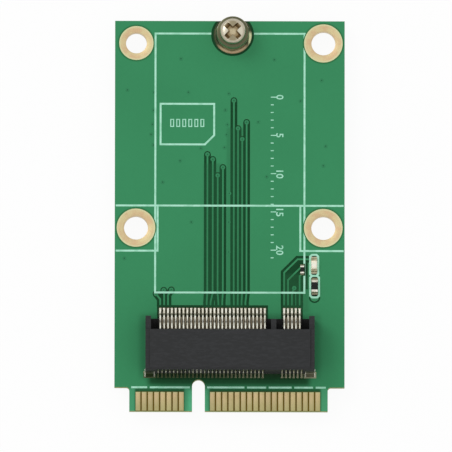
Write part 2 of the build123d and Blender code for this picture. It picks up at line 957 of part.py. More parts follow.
def holder_shell():
    side = holder_width / 2 - shell_thickness
    foot = holder_width / 2 + shell_foot_reach
    roof = shell_thickness - holder_depth
    path = [(-foot, 0), (-side, 0), (-side, roof), (side, roof), (side, 0), (foot, 0)]
    place = Plane.YZ.offset(holder_x)
    bends = [0, shell_bend, shell_bend, 0]
    shell = Location((0, holder_y, 0)) * bent_strip(
        path, bends, shell_thickness, holder_length, place, Side.RIGHT)
    depth = holder_depth + cut_over
    for x in (-1, 1):
        window = RectangleRounded(shell_window[0], shell_window[1], shell_window_corner)
        centre = holder_x + x * spring_row_spacing / 2
        shell -= raised(Location((centre, holder_y)) * window, -depth, depth)
    mouth = Rectangle(shell_mouth_cut[0] * 2, shell_mouth_cut[1])
    shell -= raised(Location((holder_back, holder_y)) * mouth, -depth, depth)
    xs = holder_foot_xs()
    half = shell_foot_length / 2
    edges = (holder_back - cut_over, xs[0] - half, xs[0] + half, xs[1] - half, xs[1] + half,
             holder_back + holder_length + cut_over)
    spaces = zip(edges[0::2], edges[1::2])
    rise = shell_thickness
    for x_range in spaces:
        for end in (-1, 1):
            y_range = sorted((holder_y + end * side, holder_y + end * (foot + cut_over)))
            shell -= raised(span(x_range, y_range), -rise, rise + cut_over)
    save(shell, "holder_shell")


def holder_insert():
    half_x = holder_length / 2
    half_y = holder_width / 2 - shell_thickness
    x_range = (holder_x - half_x, holder_x + half_x)
    y_range = (holder_y - half_y, holder_y + half_y)
    room = holder_depth - shell_thickness
    insert = raised(span(x_range, y_range), -insert_thickness, insert_thickness)
    low = y_range[0] + shell_bend
    high = y_range[1] - shell_bend
    corner_x = x_range[1] - insert_stop_length
    corner_y = low + insert_rail_width
    walls = span((corner_x, x_range[1]), (low, high))
    walls += Polygon((corner_x - card_corner_cut, corner_y), (corner_x, corner_y),
                     (corner_x, corner_y + card_corner_cut), align=None)
    walls += span(x_range, (low, corner_y))
    walls += span(x_range, (high - insert_rail_width, high))
    insert += raised(walls, -room, room)
    channel = spring_width / 2 + spring_play
    for end in (-1, 1):
        outer = holder_x + end * (half_x + cut_over)
        near = holder_x + end * (half_x - spring_window_from)
        far = near - end * spring_window[0]
        for row in (-1, 0, 1):
            y = holder_y + row * spring_pitch
            window = span(sorted((near, far)), (y - spring_window[1] / 2, y + spring_window[1] / 2))
            insert -= raised(window, -insert_thickness - cut_over, insert_thickness + cut_over * 2)
            groove = span(sorted((outer, near)), (y - channel, y + channel))
            insert -= raised(groove, -spring_thickness, spring_thickness + cut_over)
    save(insert, "holder_insert")


def holder_springs():
    point = (holder_length - spring_row_spacing) / 2
    path = [
        (-spring_foot_reach, 0), (spring_rise_from, 0), (point, -spring_point_depth),
        (point + spring_tip_length, -spring_tip_depth),
    ]
    bends = [0, spring_bend]
    spring = bent_strip(path, bends, spring_thickness, spring_width, Plane.XZ, Side.RIGHT)
    springs = []
    for row in (-1, 0, 1):
        y = holder_y + row * spring_pitch
        springs.append(Location((holder_back, y, 0)) * spring)
        springs.append(Location((holder_back + holder_length, y, 0), (0, 0, 180)) * spring)
    save(group(springs), "holder_springs")


os.makedirs("parts", exist_ok=True)
circuit_board()
pads(front_pads(), board_top - copper, "front_solder_pads")
pads(rear_pads(), board_top - copper, "rear_solder_pads")
pads(hold_down_pads(), board_top - copper, "hold_down_pads")
pads(component_pads(), board_top - copper, "component_pads")
pads(holder_pads(), 0, "holder_pads")
hole_platings()
notch_plating()
edge_fingers()
printed_lines()
socket_housing()
socket_contacts()
hold_downs()
standoff()
standoff_solder()
standoff_screw()
lamp()
chip_resistor(resistor_x, resistor_y, resistor_size, "resistor")
chip_resistor(small_resistor_x, small_resistor_y, small_resistor_size, "small_resistor")
solder_fillets()
holder_shell()
holder_insert()
holder_springs()
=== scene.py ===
import math
import bmesh
import bpy
import numpy as np
from mathutils import Matrix, Vector


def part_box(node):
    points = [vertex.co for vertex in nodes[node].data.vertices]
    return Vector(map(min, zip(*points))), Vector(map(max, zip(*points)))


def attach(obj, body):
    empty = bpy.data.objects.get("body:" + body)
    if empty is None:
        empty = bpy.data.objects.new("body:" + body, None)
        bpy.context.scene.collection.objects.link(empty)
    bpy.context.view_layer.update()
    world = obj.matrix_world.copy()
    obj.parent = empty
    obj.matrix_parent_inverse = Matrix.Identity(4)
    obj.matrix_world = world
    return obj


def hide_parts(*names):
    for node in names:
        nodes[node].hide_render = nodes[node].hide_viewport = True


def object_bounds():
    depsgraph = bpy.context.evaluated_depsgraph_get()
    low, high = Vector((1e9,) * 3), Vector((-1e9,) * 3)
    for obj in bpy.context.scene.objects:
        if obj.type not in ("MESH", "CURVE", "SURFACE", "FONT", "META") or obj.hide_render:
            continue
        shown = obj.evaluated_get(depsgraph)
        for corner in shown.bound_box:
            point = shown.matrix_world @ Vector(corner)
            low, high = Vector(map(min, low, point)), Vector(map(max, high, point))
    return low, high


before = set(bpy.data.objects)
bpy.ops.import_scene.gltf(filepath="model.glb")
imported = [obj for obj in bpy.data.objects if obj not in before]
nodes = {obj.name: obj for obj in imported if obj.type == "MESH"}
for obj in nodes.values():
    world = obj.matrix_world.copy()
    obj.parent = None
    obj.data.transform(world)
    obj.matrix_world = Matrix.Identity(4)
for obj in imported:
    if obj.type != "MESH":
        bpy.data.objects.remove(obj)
cadLow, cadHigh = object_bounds()
mm = 0.001              # lengths are in millimetres where no note says metres
mergeDistance = 1e-7    # in metres
print("frame loaded:", len(nodes), "nodes")


def boxOf(node):
    # Lowest and highest corner of a node's box, in millimetres
    return [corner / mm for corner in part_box(node)]


def middle(node):
    # Centre of a node seen from above
    low, high = boxOf(node)
    return (low.x + high.x) / 2, (low.y + high.y) / 2


def outerRadius(node):
    # Half the width of a round node
    low, high = boxOf(node)
    return (high.x - low.x) / 2


# Heights and places that several pieces share
boardHigh = boxOf("circuit_board")[1]
boardTop = boardHigh.z
copperThickness = 0.035
standoffTop = boxOf("standoff")[1].z
standoffCentre = middle("standoff")
# Positions are numbered from the right, a pitch apart, and those of the key are left out
socket = dict(centre=middle("socket_housing")[0], pitch=0.25, middleNumber=38,
              short=(1, 11), long=(20, 75))
# Hole diameter of each plated ring
ringNodes = dict(
    hole_ring_top_left=2.7, hole_ring_top_right=3.1, hole_ring_middle_left=3.1,
    hole_ring_middle_right=3.1,
)


def tint(red, green, blue):
    # Colour as seen, 0 to 255, turned into the light values that shaders take
    seen = np.array([red, green, blue]) / 255
    light = np.where(seen <= 0.04045, seen / 12.92, ((seen + 0.055) / 1.055) ** 2.4)
    return tuple(float(part) for part in light)


class Field:
    # One shader socket: an expression on it adds Math nodes to its node tree
    def __init__(self, graph, socket):
        self.graph = graph
        self.socket = socket

    def __add__(self, other):
        return self.graph.math("ADD", self, other)

    def __sub__(self, other):
        return self.graph.math("SUBTRACT", self, other)

    def __rsub__(self, other):
        return self.graph.math("SUBTRACT", other, self)

    def __mul__(self, other):
        return self.graph.math("MULTIPLY", self, other)

    def __truediv__(self, other):
        return self.graph.math("DIVIDE", self, other)

    def __abs__(self):
        return self.graph.math("ABSOLUTE", self)

    __radd__ = __add__
    __rmul__ = __mul__

    def sine(self):
        return self.graph.math("SINE", self)

    def floor(self):
        return self.graph.math("FLOOR", self)

    def most(self, other):
        return self.graph.math("MAXIMUM", self, other)

    def least(self, other):
        return self.graph.math("MINIMUM", self, other)

    def rise(self, low, high):
        # 0 below low, 1 above high, eased between; low above high turns it round
        sockets = {"Value": self, "From Min": low, "From Max": high}
        return self.graph.node("MapRange", {"interpolation_type": "SMOOTHSTEP"}, sockets)


class Graph:
    # A node tree; every new node comes from its one method
    def __init__(self, tree):
        self.tree = tree

    def feed(self, target, value):
        # A field is linked, and a number or a colour becomes the socket's own value
        if isinstance(value, Field):
            self.tree.links.new(value.socket, target)
        elif target.type == "RGBA":
            target.default_value = (*value, 1)
        else:
            target.default_value = value

    def node(self, kind, settings=None, sockets=None, output=0):
        # Settings go first, because some of them change which sockets the node has
        made = self.tree.nodes.new("ShaderNode" + kind)
        for key, value in (settings or {}).items():
            setattr(made, key, value)
        for key, value in (sockets or {}).items():
            self.feed(made.inputs[key], value)
        return Field(self, made.outputs[output])

    def math(self, operation, *values):
        return self.node("Math", {"operation": operation}, dict(enumerate(values)))

    def seenDirectly(self):
        # 1 for camera, mirror and glass rays, which see the plain white background
        names = ("Is Camera Ray", "Is Glossy Ray", "Is Transmission Ray")
        camera, mirror, glass = [self.node("LightPath", output=name) for name in names]
        return camera.most(mirror).most(glass)


class Finish(Graph):
    # A material with one Principled shader; spot is the Object coordinate in millimetres
    def __init__(self, name, constants):
        self.material = bpy.data.materials.new(name)
        self.material.use_nodes = True
        super().__init__(self.material.node_tree)
        self.shader = self.tree.nodes["Principled BSDF"]
        for key, value in constants.items():
            self.feed(self.shader.inputs[key], value)
        spot = self.node("TexCoord", output="Object")
        sockets = {"Vector": spot, "Scale": 1 / mm}
        self.spot = self.node("VectorMath", {"operation": "SCALE"}, sockets)

    def axis(self, name, centre=0):
        along = self.node("SeparateXYZ", sockets={"Vector": self.spot}, output=name)
        return along - centre if centre else along

    def away(self, x, y, flatten=1):
        # Distance from a point seen from above; Y counts less where flatten is below 1
        dx, dy = self.axis("X", x), self.axis("Y", y)
        return self.math("SQRT", dx * dx + dy * dy * flatten)

    def facing(self, name):
        normal = self.node("TexCoord", output="Normal")
        return self.node("SeparateXYZ", sockets={"Vector": normal}, output=name)

    def within(self, box, soft):
        # 1 inside a rectangle (left, right, low, high) seen from above, 0 outside it
        left, right, low, high = box
        x, y = self.axis("X"), self.axis("Y")
        across = x.rise(left - soft, left + soft) * x.rise(right + soft, right - soft)
        return across * y.rise(low - soft, low + soft) * y.rise(high + soft, high - soft)

    def pastRing(self):
        # Distance outwards from the edge of the nearest plated ring, negative on the gold
        nearest = None
        for node in ringNodes:
            past = self.away(*middle(node)) - outerRadius(node)
            nearest = nearest.least(past) if nearest else past
        return nearest

    def noise(self, scale, detail=3, stretch=(1, 1, 1)):
        placed = self.node("Mapping", sockets={"Vector": self.spot, "Scale": stretch})
        sockets = {"Vector": placed, "Scale": scale, "Detail": detail}
        return self.node("TexNoise", sockets=sockets)

    def specks(self, scale, stretch=(1, 1, 1)):
        placed = self.node("Mapping", sockets={"Vector": self.spot, "Scale": stretch})
        return self.node("TexVoronoi", sockets={"Vector": placed, "Scale": scale})

    def mix(self, factor, first, second):
        settings = {"data_type": "RGBA"}
        return self.node("Mix", settings, {0: factor, 6: first, 7: second}, output=2)

    def shade(self, colour, factor):
        # Colour made lighter or darker by a number that changes over the surface
        sockets = {"Vector": colour, "Scale": factor}
        return self.node("VectorMath", {"operation": "SCALE"}, sockets)

    def bump(self, height, depth, strength=1.0):
        # Depth is how high a rise from 0 to 1 stands, in millimetres
        sockets = {"Height": height, "Distance": depth * mm, "Strength": strength}
        return self.node("Bump", sockets=sockets)

    def drive(self, colour, rough, normal):
        for key, value in (("Base Color", colour), ("Roughness", rough), ("Normal", normal)):
            self.feed(self.shader.inputs[key], value)
        return self.material


# Finishes

resist = dict(
    green=tint(58, 142, 95), tab=tint(74, 158, 112), bare=tint(12, 68, 36),
    ringEdgeShade=tint(34, 92, 46), resin=tint(150, 158, 104), glass=tint(186, 190, 140),
    tabEdge=2.9, weavePitch=0.46, plyPitch=0.18, grooveHeight=0.985, roughness=0.34,
)
# Where the front's colour changes, in some places with painted shade: rectangle (left, right,
# low, high), softness of its edge, colour and strength; later ones lie over earlier ones
frontZones = dict(
    shadeBehindSocket=((-10.5, 10.3, 3.35, 5.4), 0.5, tint(22, 72, 38), 0.9),
    betweenRearFeet=((-9.6, 9.8, 4.4, 5.3), 0.4, tint(34, 40, 20), 0.8),
    shadeAtSocket=((-11.6, 11.7, 4.2, 12.6), 0.5, tint(30, 84, 52), 0.35),
    leftLines=((-3.4, -1.0, 13.0, 32.3), 0.2, tint(34, 96, 60), 0.3),
    rightLines=((-0.4, 1.8, 13.0, 37.0), 0.2, tint(34, 96, 60), 0.3),
    betweenLongFeet=((-9.15, 4.75, 12.2, 13.5), 0.12, tint(46, 40, 24), 0.9),
    betweenShortFeet=((6.85, 9.25, 12.2, 13.5), 0.12, tint(46, 40, 24), 0.9),
    leftOfTabNotch=((-5.35, -4.7, -1.0, 2.7), 0.25, tint(92, 192, 142), 0.7),
    rightOfTabNotch=((-3.3, -2.9, -1.0, 2.7), 0.2, tint(84, 180, 130), 0.6),
    roundShortFingers=((-12.2, -5.8, -1.0, 2.95), 0.22, tint(18, 70, 30), 0.85),
    roundLongFingers=((-2.6, 11.8, -1.0, 2.95), 0.22, tint(18, 70, 30), 0.85),
    betweenShortFingers=((-12.1, -5.9, -1.0, 2.52), 0.1, tint(104, 86, 24), 1.0),
    betweenLongFingers=((-2.5, 11.7, -1.0, 2.52), 0.1, tint(104, 86, 24), 1.0),
    lampLines=((6.9, 10.25, 12.9, 17.9), 0.35, tint(40, 100, 62), 0.35),
    # painted shade on the board under the lamp and under the resistor
    shadeUnderLamp=((10.35, 11.55, 17.75, 20.3), 0.12, tint(54, 72, 50), 0.9),
    shadeUnderResistor=((10.35, 11.6, 15.0, 17.55), 0.12, tint(28, 40, 26), 0.9),
)


def resistFinish():
    # Green resist over copper, darker where the copper is etched away and where laminate
    # lies bare between contacts, with the glass cloth's weave just felt through it and
    # layered laminate at the cut edges; painted shade lies round the gold rings, the socket,
    # the lamp and the resistor
    made = Finish("resist_green", {"Specular IOR Level": 0.1})
    x, y, z = made.axis("X"), made.axis("Y"), made.axis("Z")
    mottle = made.noise(0.11, 2)
    fine = made.noise(1.9, 4)
    turn = 2 * math.pi / resist["weavePitch"]
    weave = (x * turn).sine() * (y * turn).sine()
    body = made.mix(y.rise(resist["tabEdge"] + 0.1, resist["tabEdge"] - 0.1),
                    resist["green"], resist["tab"])
    body = made.shade(body, 0.9 + mottle * 0.14 + fine * 0.06 + weave * 0.012)
    front = z.rise(boardTop - 0.1, boardTop - 0.05)
    etched = z.rise(resist["grooveHeight"], resist["grooveHeight"] - 0.01)
    etched = etched * front
    body = made.mix(etched, body, made.shade(resist["bare"], 0.8 + fine * 0.4))
    past = made.pastRing()
    # A darker band round each gold ring: painted shade where the resist meets the ring's raised
    # edge
    ringEdgeShade = past.rise(-0.02, 0.04) * past.rise(0.3, 0.06) * front * 0.6
    body = made.mix(ringEdgeShade, body, resist["ringEdgeShade"])
    for box, soft, colour, strength in frontZones.values():
        zone = made.within(box, soft) * front * strength
        body = made.mix(zone, body, made.shade(colour, 0.85 + fine * 0.3))
    layers = (z * (2 * math.pi / resist["plyPitch"])).sine() * 0.5 + 0.5
    strands = made.noise(5.0, 3, (1, 1, 0.35))
    edge = made.mix(layers * strands.rise(0.35, 0.65), resist["resin"], resist["glass"])
    side = abs(made.facing("Z")).rise(0.6, 0.4)
    colour = made.mix(side, body, edge)
    rough = resist["roughness"] + fine * 0.1 + side * 0.35
    height = weave * 0.25 + fine * 0.9 + side * strands * 2.0
    return made.drive(colour=colour, rough=rough, normal=made.bump(height, 0.004, 0.6))


goldTone = dict(
    light=tint(212, 196, 150), dark=tint(208, 180, 140), rim=tint(210, 212, 168),
    lip=tint(186, 162, 124),
)


def ringFinish():
    # Gold over nickel, flat but for soft clouds, with a pale band at its outer edge and a
    # shaded lip at the hole
    made = Finish("ring_gold", {"Metallic": 1.0})
    past = made.pastRing()
    clouds = made.noise(1.1, 3)
    grain = made.noise(9.0, 3)
    colour = made.mix(clouds.rise(0.36, 0.66), goldTone["light"], goldTone["dark"])
    colour = made.mix(past.rise(-0.26, -0.1) * 0.7, colour, goldTone["rim"])
    colour = made.mix(past.rise(-0.72, -0.86) * 0.25, colour, goldTone["lip"])
    colour = made.shade(colour, 0.94 + grain * 0.08)
    return made.drive(colour=colour, rough=0.3 + clouds * 0.1 + grain * 0.08,
                      normal=made.bump(clouds + grain * 0.6, 0.004, 0.5))


# The strip behind the socket where the housing shades the feet, dull at the card's left
rearShade = dict(band=(4.85, 5.18), across=(-5.0, 8.0), left=tint(84, 94, 66),
                 right=tint(146, 146, 122))


def metalFinish(name, settings):
    # Plated or bare metal: two tones in soft patches, fine drawn lines and small pits, with
    # painted shade behind the socket; bends get bands of painted shade, and a tab in that shade
    # painted highlights along its sides
    made = Finish(name, {"Metallic": 1.0})
    patches = made.noise(settings["patch"], 3)
    lines = made.noise(settings["lineScale"], 4, settings["lineStretch"])
    pits = made.specks(settings["pit"]).rise(0.02, 0.16)
    colour = made.mix(patches.rise(0.38, 0.64), settings["light"], settings["dark"])
    colour = made.mix(lines.rise(0.5, 0.8) * settings["lineDepth"], colour, settings["stain"])
    colour = made.shade(colour, 0.86 + pits * 0.14)
    x, y = made.axis("X"), made.axis("Y")
    # Bands of painted shade across the bends
    for low, high, depth in settings.get("bendShadeBands", ()):
        band = y.rise(low - 0.12, low + 0.12) * y.rise(high + 0.12, high - 0.12)
        colour = made.shade(colour, 1 - band * depth)
    # Painted shade behind the socket, darker towards the card's left, with painted highlights along
    # the sides of an anchor tab
    tones = settings.get("rear", rearShade)
    rear = made.mix(x.rise(*rearShade["across"]), tones["left"], tones["right"])
    if "rimHighlights" in settings:
        spread, low, high = settings["rimHighlights"]
        rim = abs(abs(x - socket["centre"]) - spread).rise(low, high)
        rear = made.mix(rim * 0.8, rear, settings["light"])
    colour = made.mix(y.rise(*rearShade["band"]), made.shade(rear, 0.8 + patches * 0.4), colour)
    rough = settings["roughness"] + patches * 0.12 + lines * 0.14
    height = lines * settings["lineBump"] + pits * 0.5 + patches
    return made.drive(colour=colour, rough=rough, normal=made.bump(height, settings["relief"], 0.5))


tinTone = dict(
    light=tint(184, 178, 152), dark=tint(150, 142, 112), stain=tint(112, 98, 70),
    patch=1.6, lineScale=6.0, lineStretch=(1, 1, 1), lineDepth=0.4, lineBump=0.8,
    pit=7.0, roughness=0.36, relief=0.008,
)
# Spring contacts, with bands of painted shade where their bends lie in shade
springTone = dict(
    light=tint(236, 236, 224), dark=tint(216, 212, 196), stain=tint(164, 150, 124),
    patch=1.4, lineScale=4.0, lineStretch=(6, 0.6, 0.6), lineDepth=0.35, lineBump=0.3,
    pit=12.0, roughness=0.26, relief=0.0015, bendShadeBands=((12.4, 12.75, 0.42), (11.15, 11.6, 0.28)),
)
# Anchor tabs: darker painted shade behind the socket, and painted highlights along their sides
anchorTone = dict(
    springTone, rear=dict(left=tint(44, 56, 34), right=tint(92, 92, 74)),
    rimHighlights=(10.35, 0.5, 0.62),
)
solderTone = dict(
    light=tint(236, 234, 222), dark=tint(188, 184, 166), stain=tint(132, 120, 94),
    patch=2.8, lineScale=8.0, lineStretch=(1, 1, 1), lineDepth=0.35, lineBump=1.0,
    pit=10.0, roughness=0.3, relief=0.012,
)
stampedTone = dict(
    light=tint(206, 205, 200), dark=tint(194, 192, 187), stain=tint(156, 153, 146),
    patch=0.5, lineScale=3.0, lineStretch=(0.25, 5, 5), lineDepth=0.45, lineBump=0.8,
    pit=4.0, roughness=0.26, relief=0.004,
)
postTone = dict(top=tint(92, 92, 70), wall=tint(190, 182, 160))


def postFinish():
    # Turned nickel, bright on the wall and dull on the face that the screw head shades
    made = Finish("post_nickel", {"Metallic": 1.0})
    lines = made.noise(5.0, 3, (0.3, 0.3, 6))
    cloud = made.noise(1.6, 4)
    colour = made.mix(made.facing("Z").rise(0.4, 0.9), postTone["wall"], postTone["top"])
    colour = made.shade(colour, 0.8 + cloud * 0.3 + lines * 0.1)
    return made.drive(colour=colour, rough=0.26 + lines * 0.2,
                      normal=made.bump(lines + cloud * 0.6, 0.006, 0.6))


seatTone = dict(shade=tint(66, 74, 54), low=tint(170, 148, 118), sideHighlight=tint(204, 206, 164))


def seatFinish():
    # Solder and plating down in the notch: dark with painted shade from the screw head, warm
    # where it turns to the card's middle and with a painted highlight along its right side
    made = Finish("seat_metal", {"Metallic": 1.0})
    x, y = made.axis("X", standoffCentre[0]), made.axis("Y", standoffCentre[1])
    cloud = made.noise(1.6, 4)
    scratch = made.noise(6.0, 3, (1, 1, 0.4))
    colour = made.mix(y.rise(-1.1, -1.9), seatTone["shade"], seatTone["low"])
    # painted highlight along the right side
    side = x.rise(1.95, 2.2) * y.rise(0.6, 0.0)
    colour = made.mix(side, colour, seatTone["sideHighlight"])
    colour = made.shade(colour, 0.7 + cloud * 0.5 + scratch * 0.1)
    height = scratch + cloud * 0.8
    return made.drive(colour=colour, rough=0.3 + scratch * 0.2,
                      normal=made.bump(height, 0.008, 0.6))


# Painted highlights at the crown's sides, painted shade in the recess, lighter at its middle
screwTone = dict(rim=tint(184, 176, 156), wedge=tint(206, 200, 180), crown=tint(150, 140, 114),
                 armShade=tint(150, 132, 100), centre=tint(188, 174, 142))


def screwFinish():
    # Nickel plate, with painted highlights at the sides of the crown and painted shade in the
    # cross recess, whose depth comes from the mesh as a share of the deepest point
    made = Finish("screw_nickel", {"Metallic": 1.0})
    x = made.axis("X", standoffCentre[0])
    away = made.away(*standoffCentre)
    lathe = made.noise(5.0, 3, (1, 1, 0.2))
    cloud = made.noise(2.2, 3)
    depth = made.node("Attribute", {"attribute_name": "recess"}, output="Fac")
    colour = made.mix(abs(x).rise(0.3, 0.85), screwTone["crown"], screwTone["wedge"])
    colour = made.mix(away.rise(1.2, 1.4), colour, screwTone["rim"])
    # painted shade in the recess, lighter at its middle
    recessShade = made.mix(away.rise(0.3, 0.6), screwTone["centre"], screwTone["armShade"])
    colour = made.mix(depth.rise(0.03, 0.25), colour, recessShade)
    colour = made.shade(colour, 0.84 + cloud * 0.24 + lathe * 0.08)
    height = lathe * 0.6 + cloud
    return made.drive(colour=colour, rough=0.24 + cloud * 0.16,
                      normal=made.bump(height, 0.006, 0.5))


fingerTone = dict(
    near=tint(172, 164, 118), far=tint(198, 176, 134), dark=tint(160, 150, 98),
    end=tint(176, 192, 140), length=2.35, pitch=0.8, phase=0.125, roughness=0.3,
)


def fingerFinish():
    # Gold over nickel, a little different from one contact to the next, with the faint
    # rubbed lines of a socket along Y
    made = Finish("finger_gold", {"Metallic": 1.0})
    x, y = made.axis("X"), made.axis("Y")
    number = (x / fingerTone["pitch"] + 0.25).floor()
    sockets = {"W": number * 0.73}
    own = made.node("TexWhiteNoise", {"noise_dimensions": "1D"}, sockets)
    rub = made.noise(7.0, 4, (1.6, 0.12, 1))
    cloud = made.noise(0.8, 3)
    colour = made.mix(y.rise(0.1, fingerTone["length"]), fingerTone["near"], fingerTone["far"])
    across = made.math("FRACT", x / fingerTone["pitch"] + fingerTone["phase"])
    colour = made.mix(across.rise(0.35, 0.8) * 0.5, colour, fingerTone["dark"])
    colour = made.mix(y.rise(2.25, 2.45) * 0.5, colour, fingerTone["end"])
    colour = made.mix(cloud.rise(0.42, 0.75) * 0.3, colour, fingerTone["dark"])
    colour = made.shade(colour, 0.9 + own * 0.12 + rub * 0.1)
    rough = fingerTone["roughness"] + rub * 0.15 + own * 0.05
    return made.drive(colour=colour, rough=rough, normal=made.bump(rub, 0.004, 0.6))


ink = dict(body=tint(180, 238, 212), thin=tint(158, 224, 192), roughness=0.55)


def inkFinish():
    # Screened ink: grainy, a little thinner in places, so that the green shows through
    made = Finish("screened_ink", {"Specular IOR Level": 0.15})
    grain = made.noise(9.0, 4)
    cover = made.noise(1.4, 3)
    colour = made.mix(cover.rise(0.42, 0.66), ink["body"], ink["thin"])
    colour = made.shade(colour, 0.94 + grain * 0.12)
    normal = made.bump(grain, 0.006, 0.7)
    return made.drive(colour=colour, rough=ink["roughness"] + grain * 0.2, normal=normal)


# deep is painted shade in the socket's pockets, lit painted light from the contacts in the comb
plastic = dict(
    body=tint(44, 45, 46), pale=tint(54, 55, 57), roughness=0.5, deep=tint(10, 10, 10),
    lit=tint(114, 104, 84), pocketHeight=(4.2, 3.6), pocketFrom=(10.2, 10.4),
    combs=((-9.1, 4.7, 9.0, 13.0), (6.9, 9.2, 9.0, 13.0)), combSoft=0.05,
)
holderPlastic = dict(body=tint(34, 34, 36), pale=tint(50, 50, 53), roughness=0.46)
lampLaminate = dict(body=tint(240, 230, 208), pale=tint(250, 243, 226), roughness=0.6)
ceramic = dict(body=tint(222, 219, 210), pale=tint(238, 236, 230), roughness=0.5)
glaze = dict(body=tint(16, 17, 16), pale=tint(34, 35, 33), roughness=0.22)


def mouldingFinish(name, settings, fibres=0.25):
    # Filled moulding or ceramic: pale streaks and short fibres in the flow direction, a
    # fine eroded grain and slow changes of gloss. The socket's deep pockets get painted shade,
    # nearly black, and painted light, brown, in the comb, where the contacts on both sides light it
    made = Finish(name, {"Specular IOR Level": 0.2})
    flow = made.noise(2.2, 4, (0.6, 1.8, 1.8))
    grain = made.noise(14.0, 3)
    cloud = made.noise(0.16, 2)
    streaks = flow.rise(0.4, 0.7) * 0.6
    if fibres:
        streaks = streaks + made.specks(6.0, (0.35, 3.0, 3.0)).rise(0.1, 0.02) * fibres
    colour = made.mix(streaks, settings["body"], settings["pale"])
    # Painted shade in the socket's pockets, with painted light from the contacts in the comb
    if "combs" in settings:
        comb = sum(made.within(box, settings["combSoft"]) for box in settings["combs"])
        pocket = made.axis("Z").rise(*settings["pocketHeight"])
        pocket = pocket * made.axis("Y").rise(*settings["pocketFrom"])
        colour = made.mix(pocket, colour, made.mix(comb, settings["deep"], settings["lit"]))
    colour = made.shade(colour, 0.88 + cloud * 0.24)
    rough = settings["roughness"] + grain * 0.16 + cloud * 0.1
    height = grain + flow * 0.3
    return made.drive(colour=colour, rough=rough, normal=made.bump(height, 0.005, 0.6))


lens = dict(rim=tint(246, 236, 212), core=tint(255, 250, 234), roughness=0.2)


def lensFinish():
    # Cast resin, milky at the middle over the chip, with a few small bubbles
    made = Finish("lens_resin", {"Specular IOR Level": 0.45, "Subsurface Weight": 0.15,
                                 "Subsurface Radius": (0.0004, 0.0003, 0.0002)})
    away = made.away(*middle("lamp_lens"), flatten=0.6)
    bubbles = made.specks(7.0).rise(0.16, 0.06)
    cloud = made.noise(3.0, 3)
    colour = made.mix(away.rise(0.12, 0.5), lens["core"], lens["rim"])
    colour = made.shade(colour, 0.92 + cloud * 0.12 - bubbles * 0.08)
    return made.drive(colour=colour, rough=lens["roughness"] + cloud * 0.1,
                      normal=made.bump(cloud + bubbles, 0.006, 0.5))


viaTone = dict(green=tint(56, 138, 93), hole=tint(40, 108, 70))


def viaFinish():
    # Resist sunk into a small plated hole: green on the rim, dark in the dip
    made = Finish("tented_hole", {"Specular IOR Level": 0.1})
    half = boardTop / 2
    deep = abs(made.axis("Z") - half).rise(half + 0.014, half + 0.006)
    grain = made.noise(12.0, 3)
    colour = made.mix(deep, viaTone["green"], viaTone["hole"])
    colour = made.shade(colour, 0.9 + grain * 0.2)
    return made.drive(colour=colour, rough=0.32 + grain * 0.15,
                      normal=made.bump(grain, 0.003, 0.5))


finishes = dict(
    resist=resistFinish(),
    gold=ringFinish(),
    finger=fingerFinish(),
    tin=metalFinish("tinned_copper", tinTone),
    spring=metalFinish("spring_metal", springTone),
    anchor=metalFinish("anchor_metal", anchorTone),
    seat=seatFinish(),
    post=postFinish(),
    screw=screwFinish(),
    solder=metalFinish("reflowed_solder", solderTone),
    stamped=metalFinish("stamped_steel", stampedTone),
    ink=inkFinish(),
    housing=mouldingFinish("housing_moulding", plastic, 0),
    holder=mouldingFinish("holder_moulding", holderPlastic),
    laminate=mouldingFinish("lamp_laminate", lampLaminate),
    ceramic=mouldingFinish("fired_ceramic", ceramic),
    glaze=mouldingFinish("resistor_glaze", glaze),
    lens=lensFinish(),
    via=viaFinish(),
)
print("finishes made:", len(finishes))


# Mesh helpers

def gridFaces(points, closeRows=False, closeColumns=True):
    # Face (i, j) joins grid points (i, j), (i + 1, j), (i + 1, j + 1) and (i, j + 1)
    rows, columns = points.shape[:2]
    i, j = np.meshgrid(
        np.arange(rows if closeRows else rows - 1),
        np.arange(columns if closeColumns else columns - 1), indexing="ij",
    )
    nextRow = (i + 1) % rows
    nextColumn = (j + 1) % columns
    corners = (i * columns + j, nextRow * columns + j, nextRow * columns + nextColumn,
               i * columns + nextColumn)
    return np.stack(corners, -1).reshape(-1, 4).tolist()


def tubeFaces(points):
    # A closed section carried along open rows, with a flat face over each end
    rows, columns = points.shape[:2]
    ends = [list(range(columns)), list(range((rows - 1) * columns, rows * columns))]
    return gridFaces(points) + ends


def repeatedFaces(faces, size, copies):
    # The faces of one shape, counted on by its number of points for each copy
    return [[corner + number * size for corner in face]
            for number in range(copies) for face in faces]


def repeated(points, faces, shifts):
    # One shape set down again at every shift: each point plus each shift
    points = points.reshape(-1, 3)
    placed = points[None] + np.asarray(shifts, float)[:, None]
    return placed, repeatedFaces(faces, len(points), len(shifts))


def showPiece(name, mesh, finish, replaced=()):
    # An object of the scene for a mesh that is already in place
    mesh.materials.clear()
    mesh.materials.append(finishes[finish])
    piece = bpy.data.objects.new(name, mesh)
    bpy.context.scene.collection.objects.link(piece)
    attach(piece, "root")
    if replaced:
        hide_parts(*replaced)
    return piece


def smoothMesh(mesh, crease):
    # Smooth shading, but for edges that bend more than the crease angle in degrees
    mesh.polygons.foreach_set("use_smooth", np.ones(len(mesh.polygons), bool))
    mesh.set_sharp_from_angle(angle=math.radians(crease))


def makePiece(name, points, faces, finish, replaced=(), crease=38):
    # Points in millimetres; seams and poles are merged, then all faces turned outwards
    mesh = bpy.data.meshes.new(name)
    mesh.from_pydata((np.reshape(points, (-1, 3)) * mm).tolist(), [], faces)
    form = bmesh.new()
    form.from_mesh(mesh)
    bmesh.ops.remove_doubles(form, verts=form.verts, dist=mergeDistance)
    bmesh.ops.recalc_face_normals(form, faces=form.faces)
    form.to_mesh(mesh)
    form.free()
    smoothMesh(mesh, crease)
    return showPiece(name, mesh, finish, replaced)


# Angles in degrees: flat is where two faces still count as one, bend is where an edge
# begins to get a bevel
easing = dict(flat=1, bend=32, segments=2)


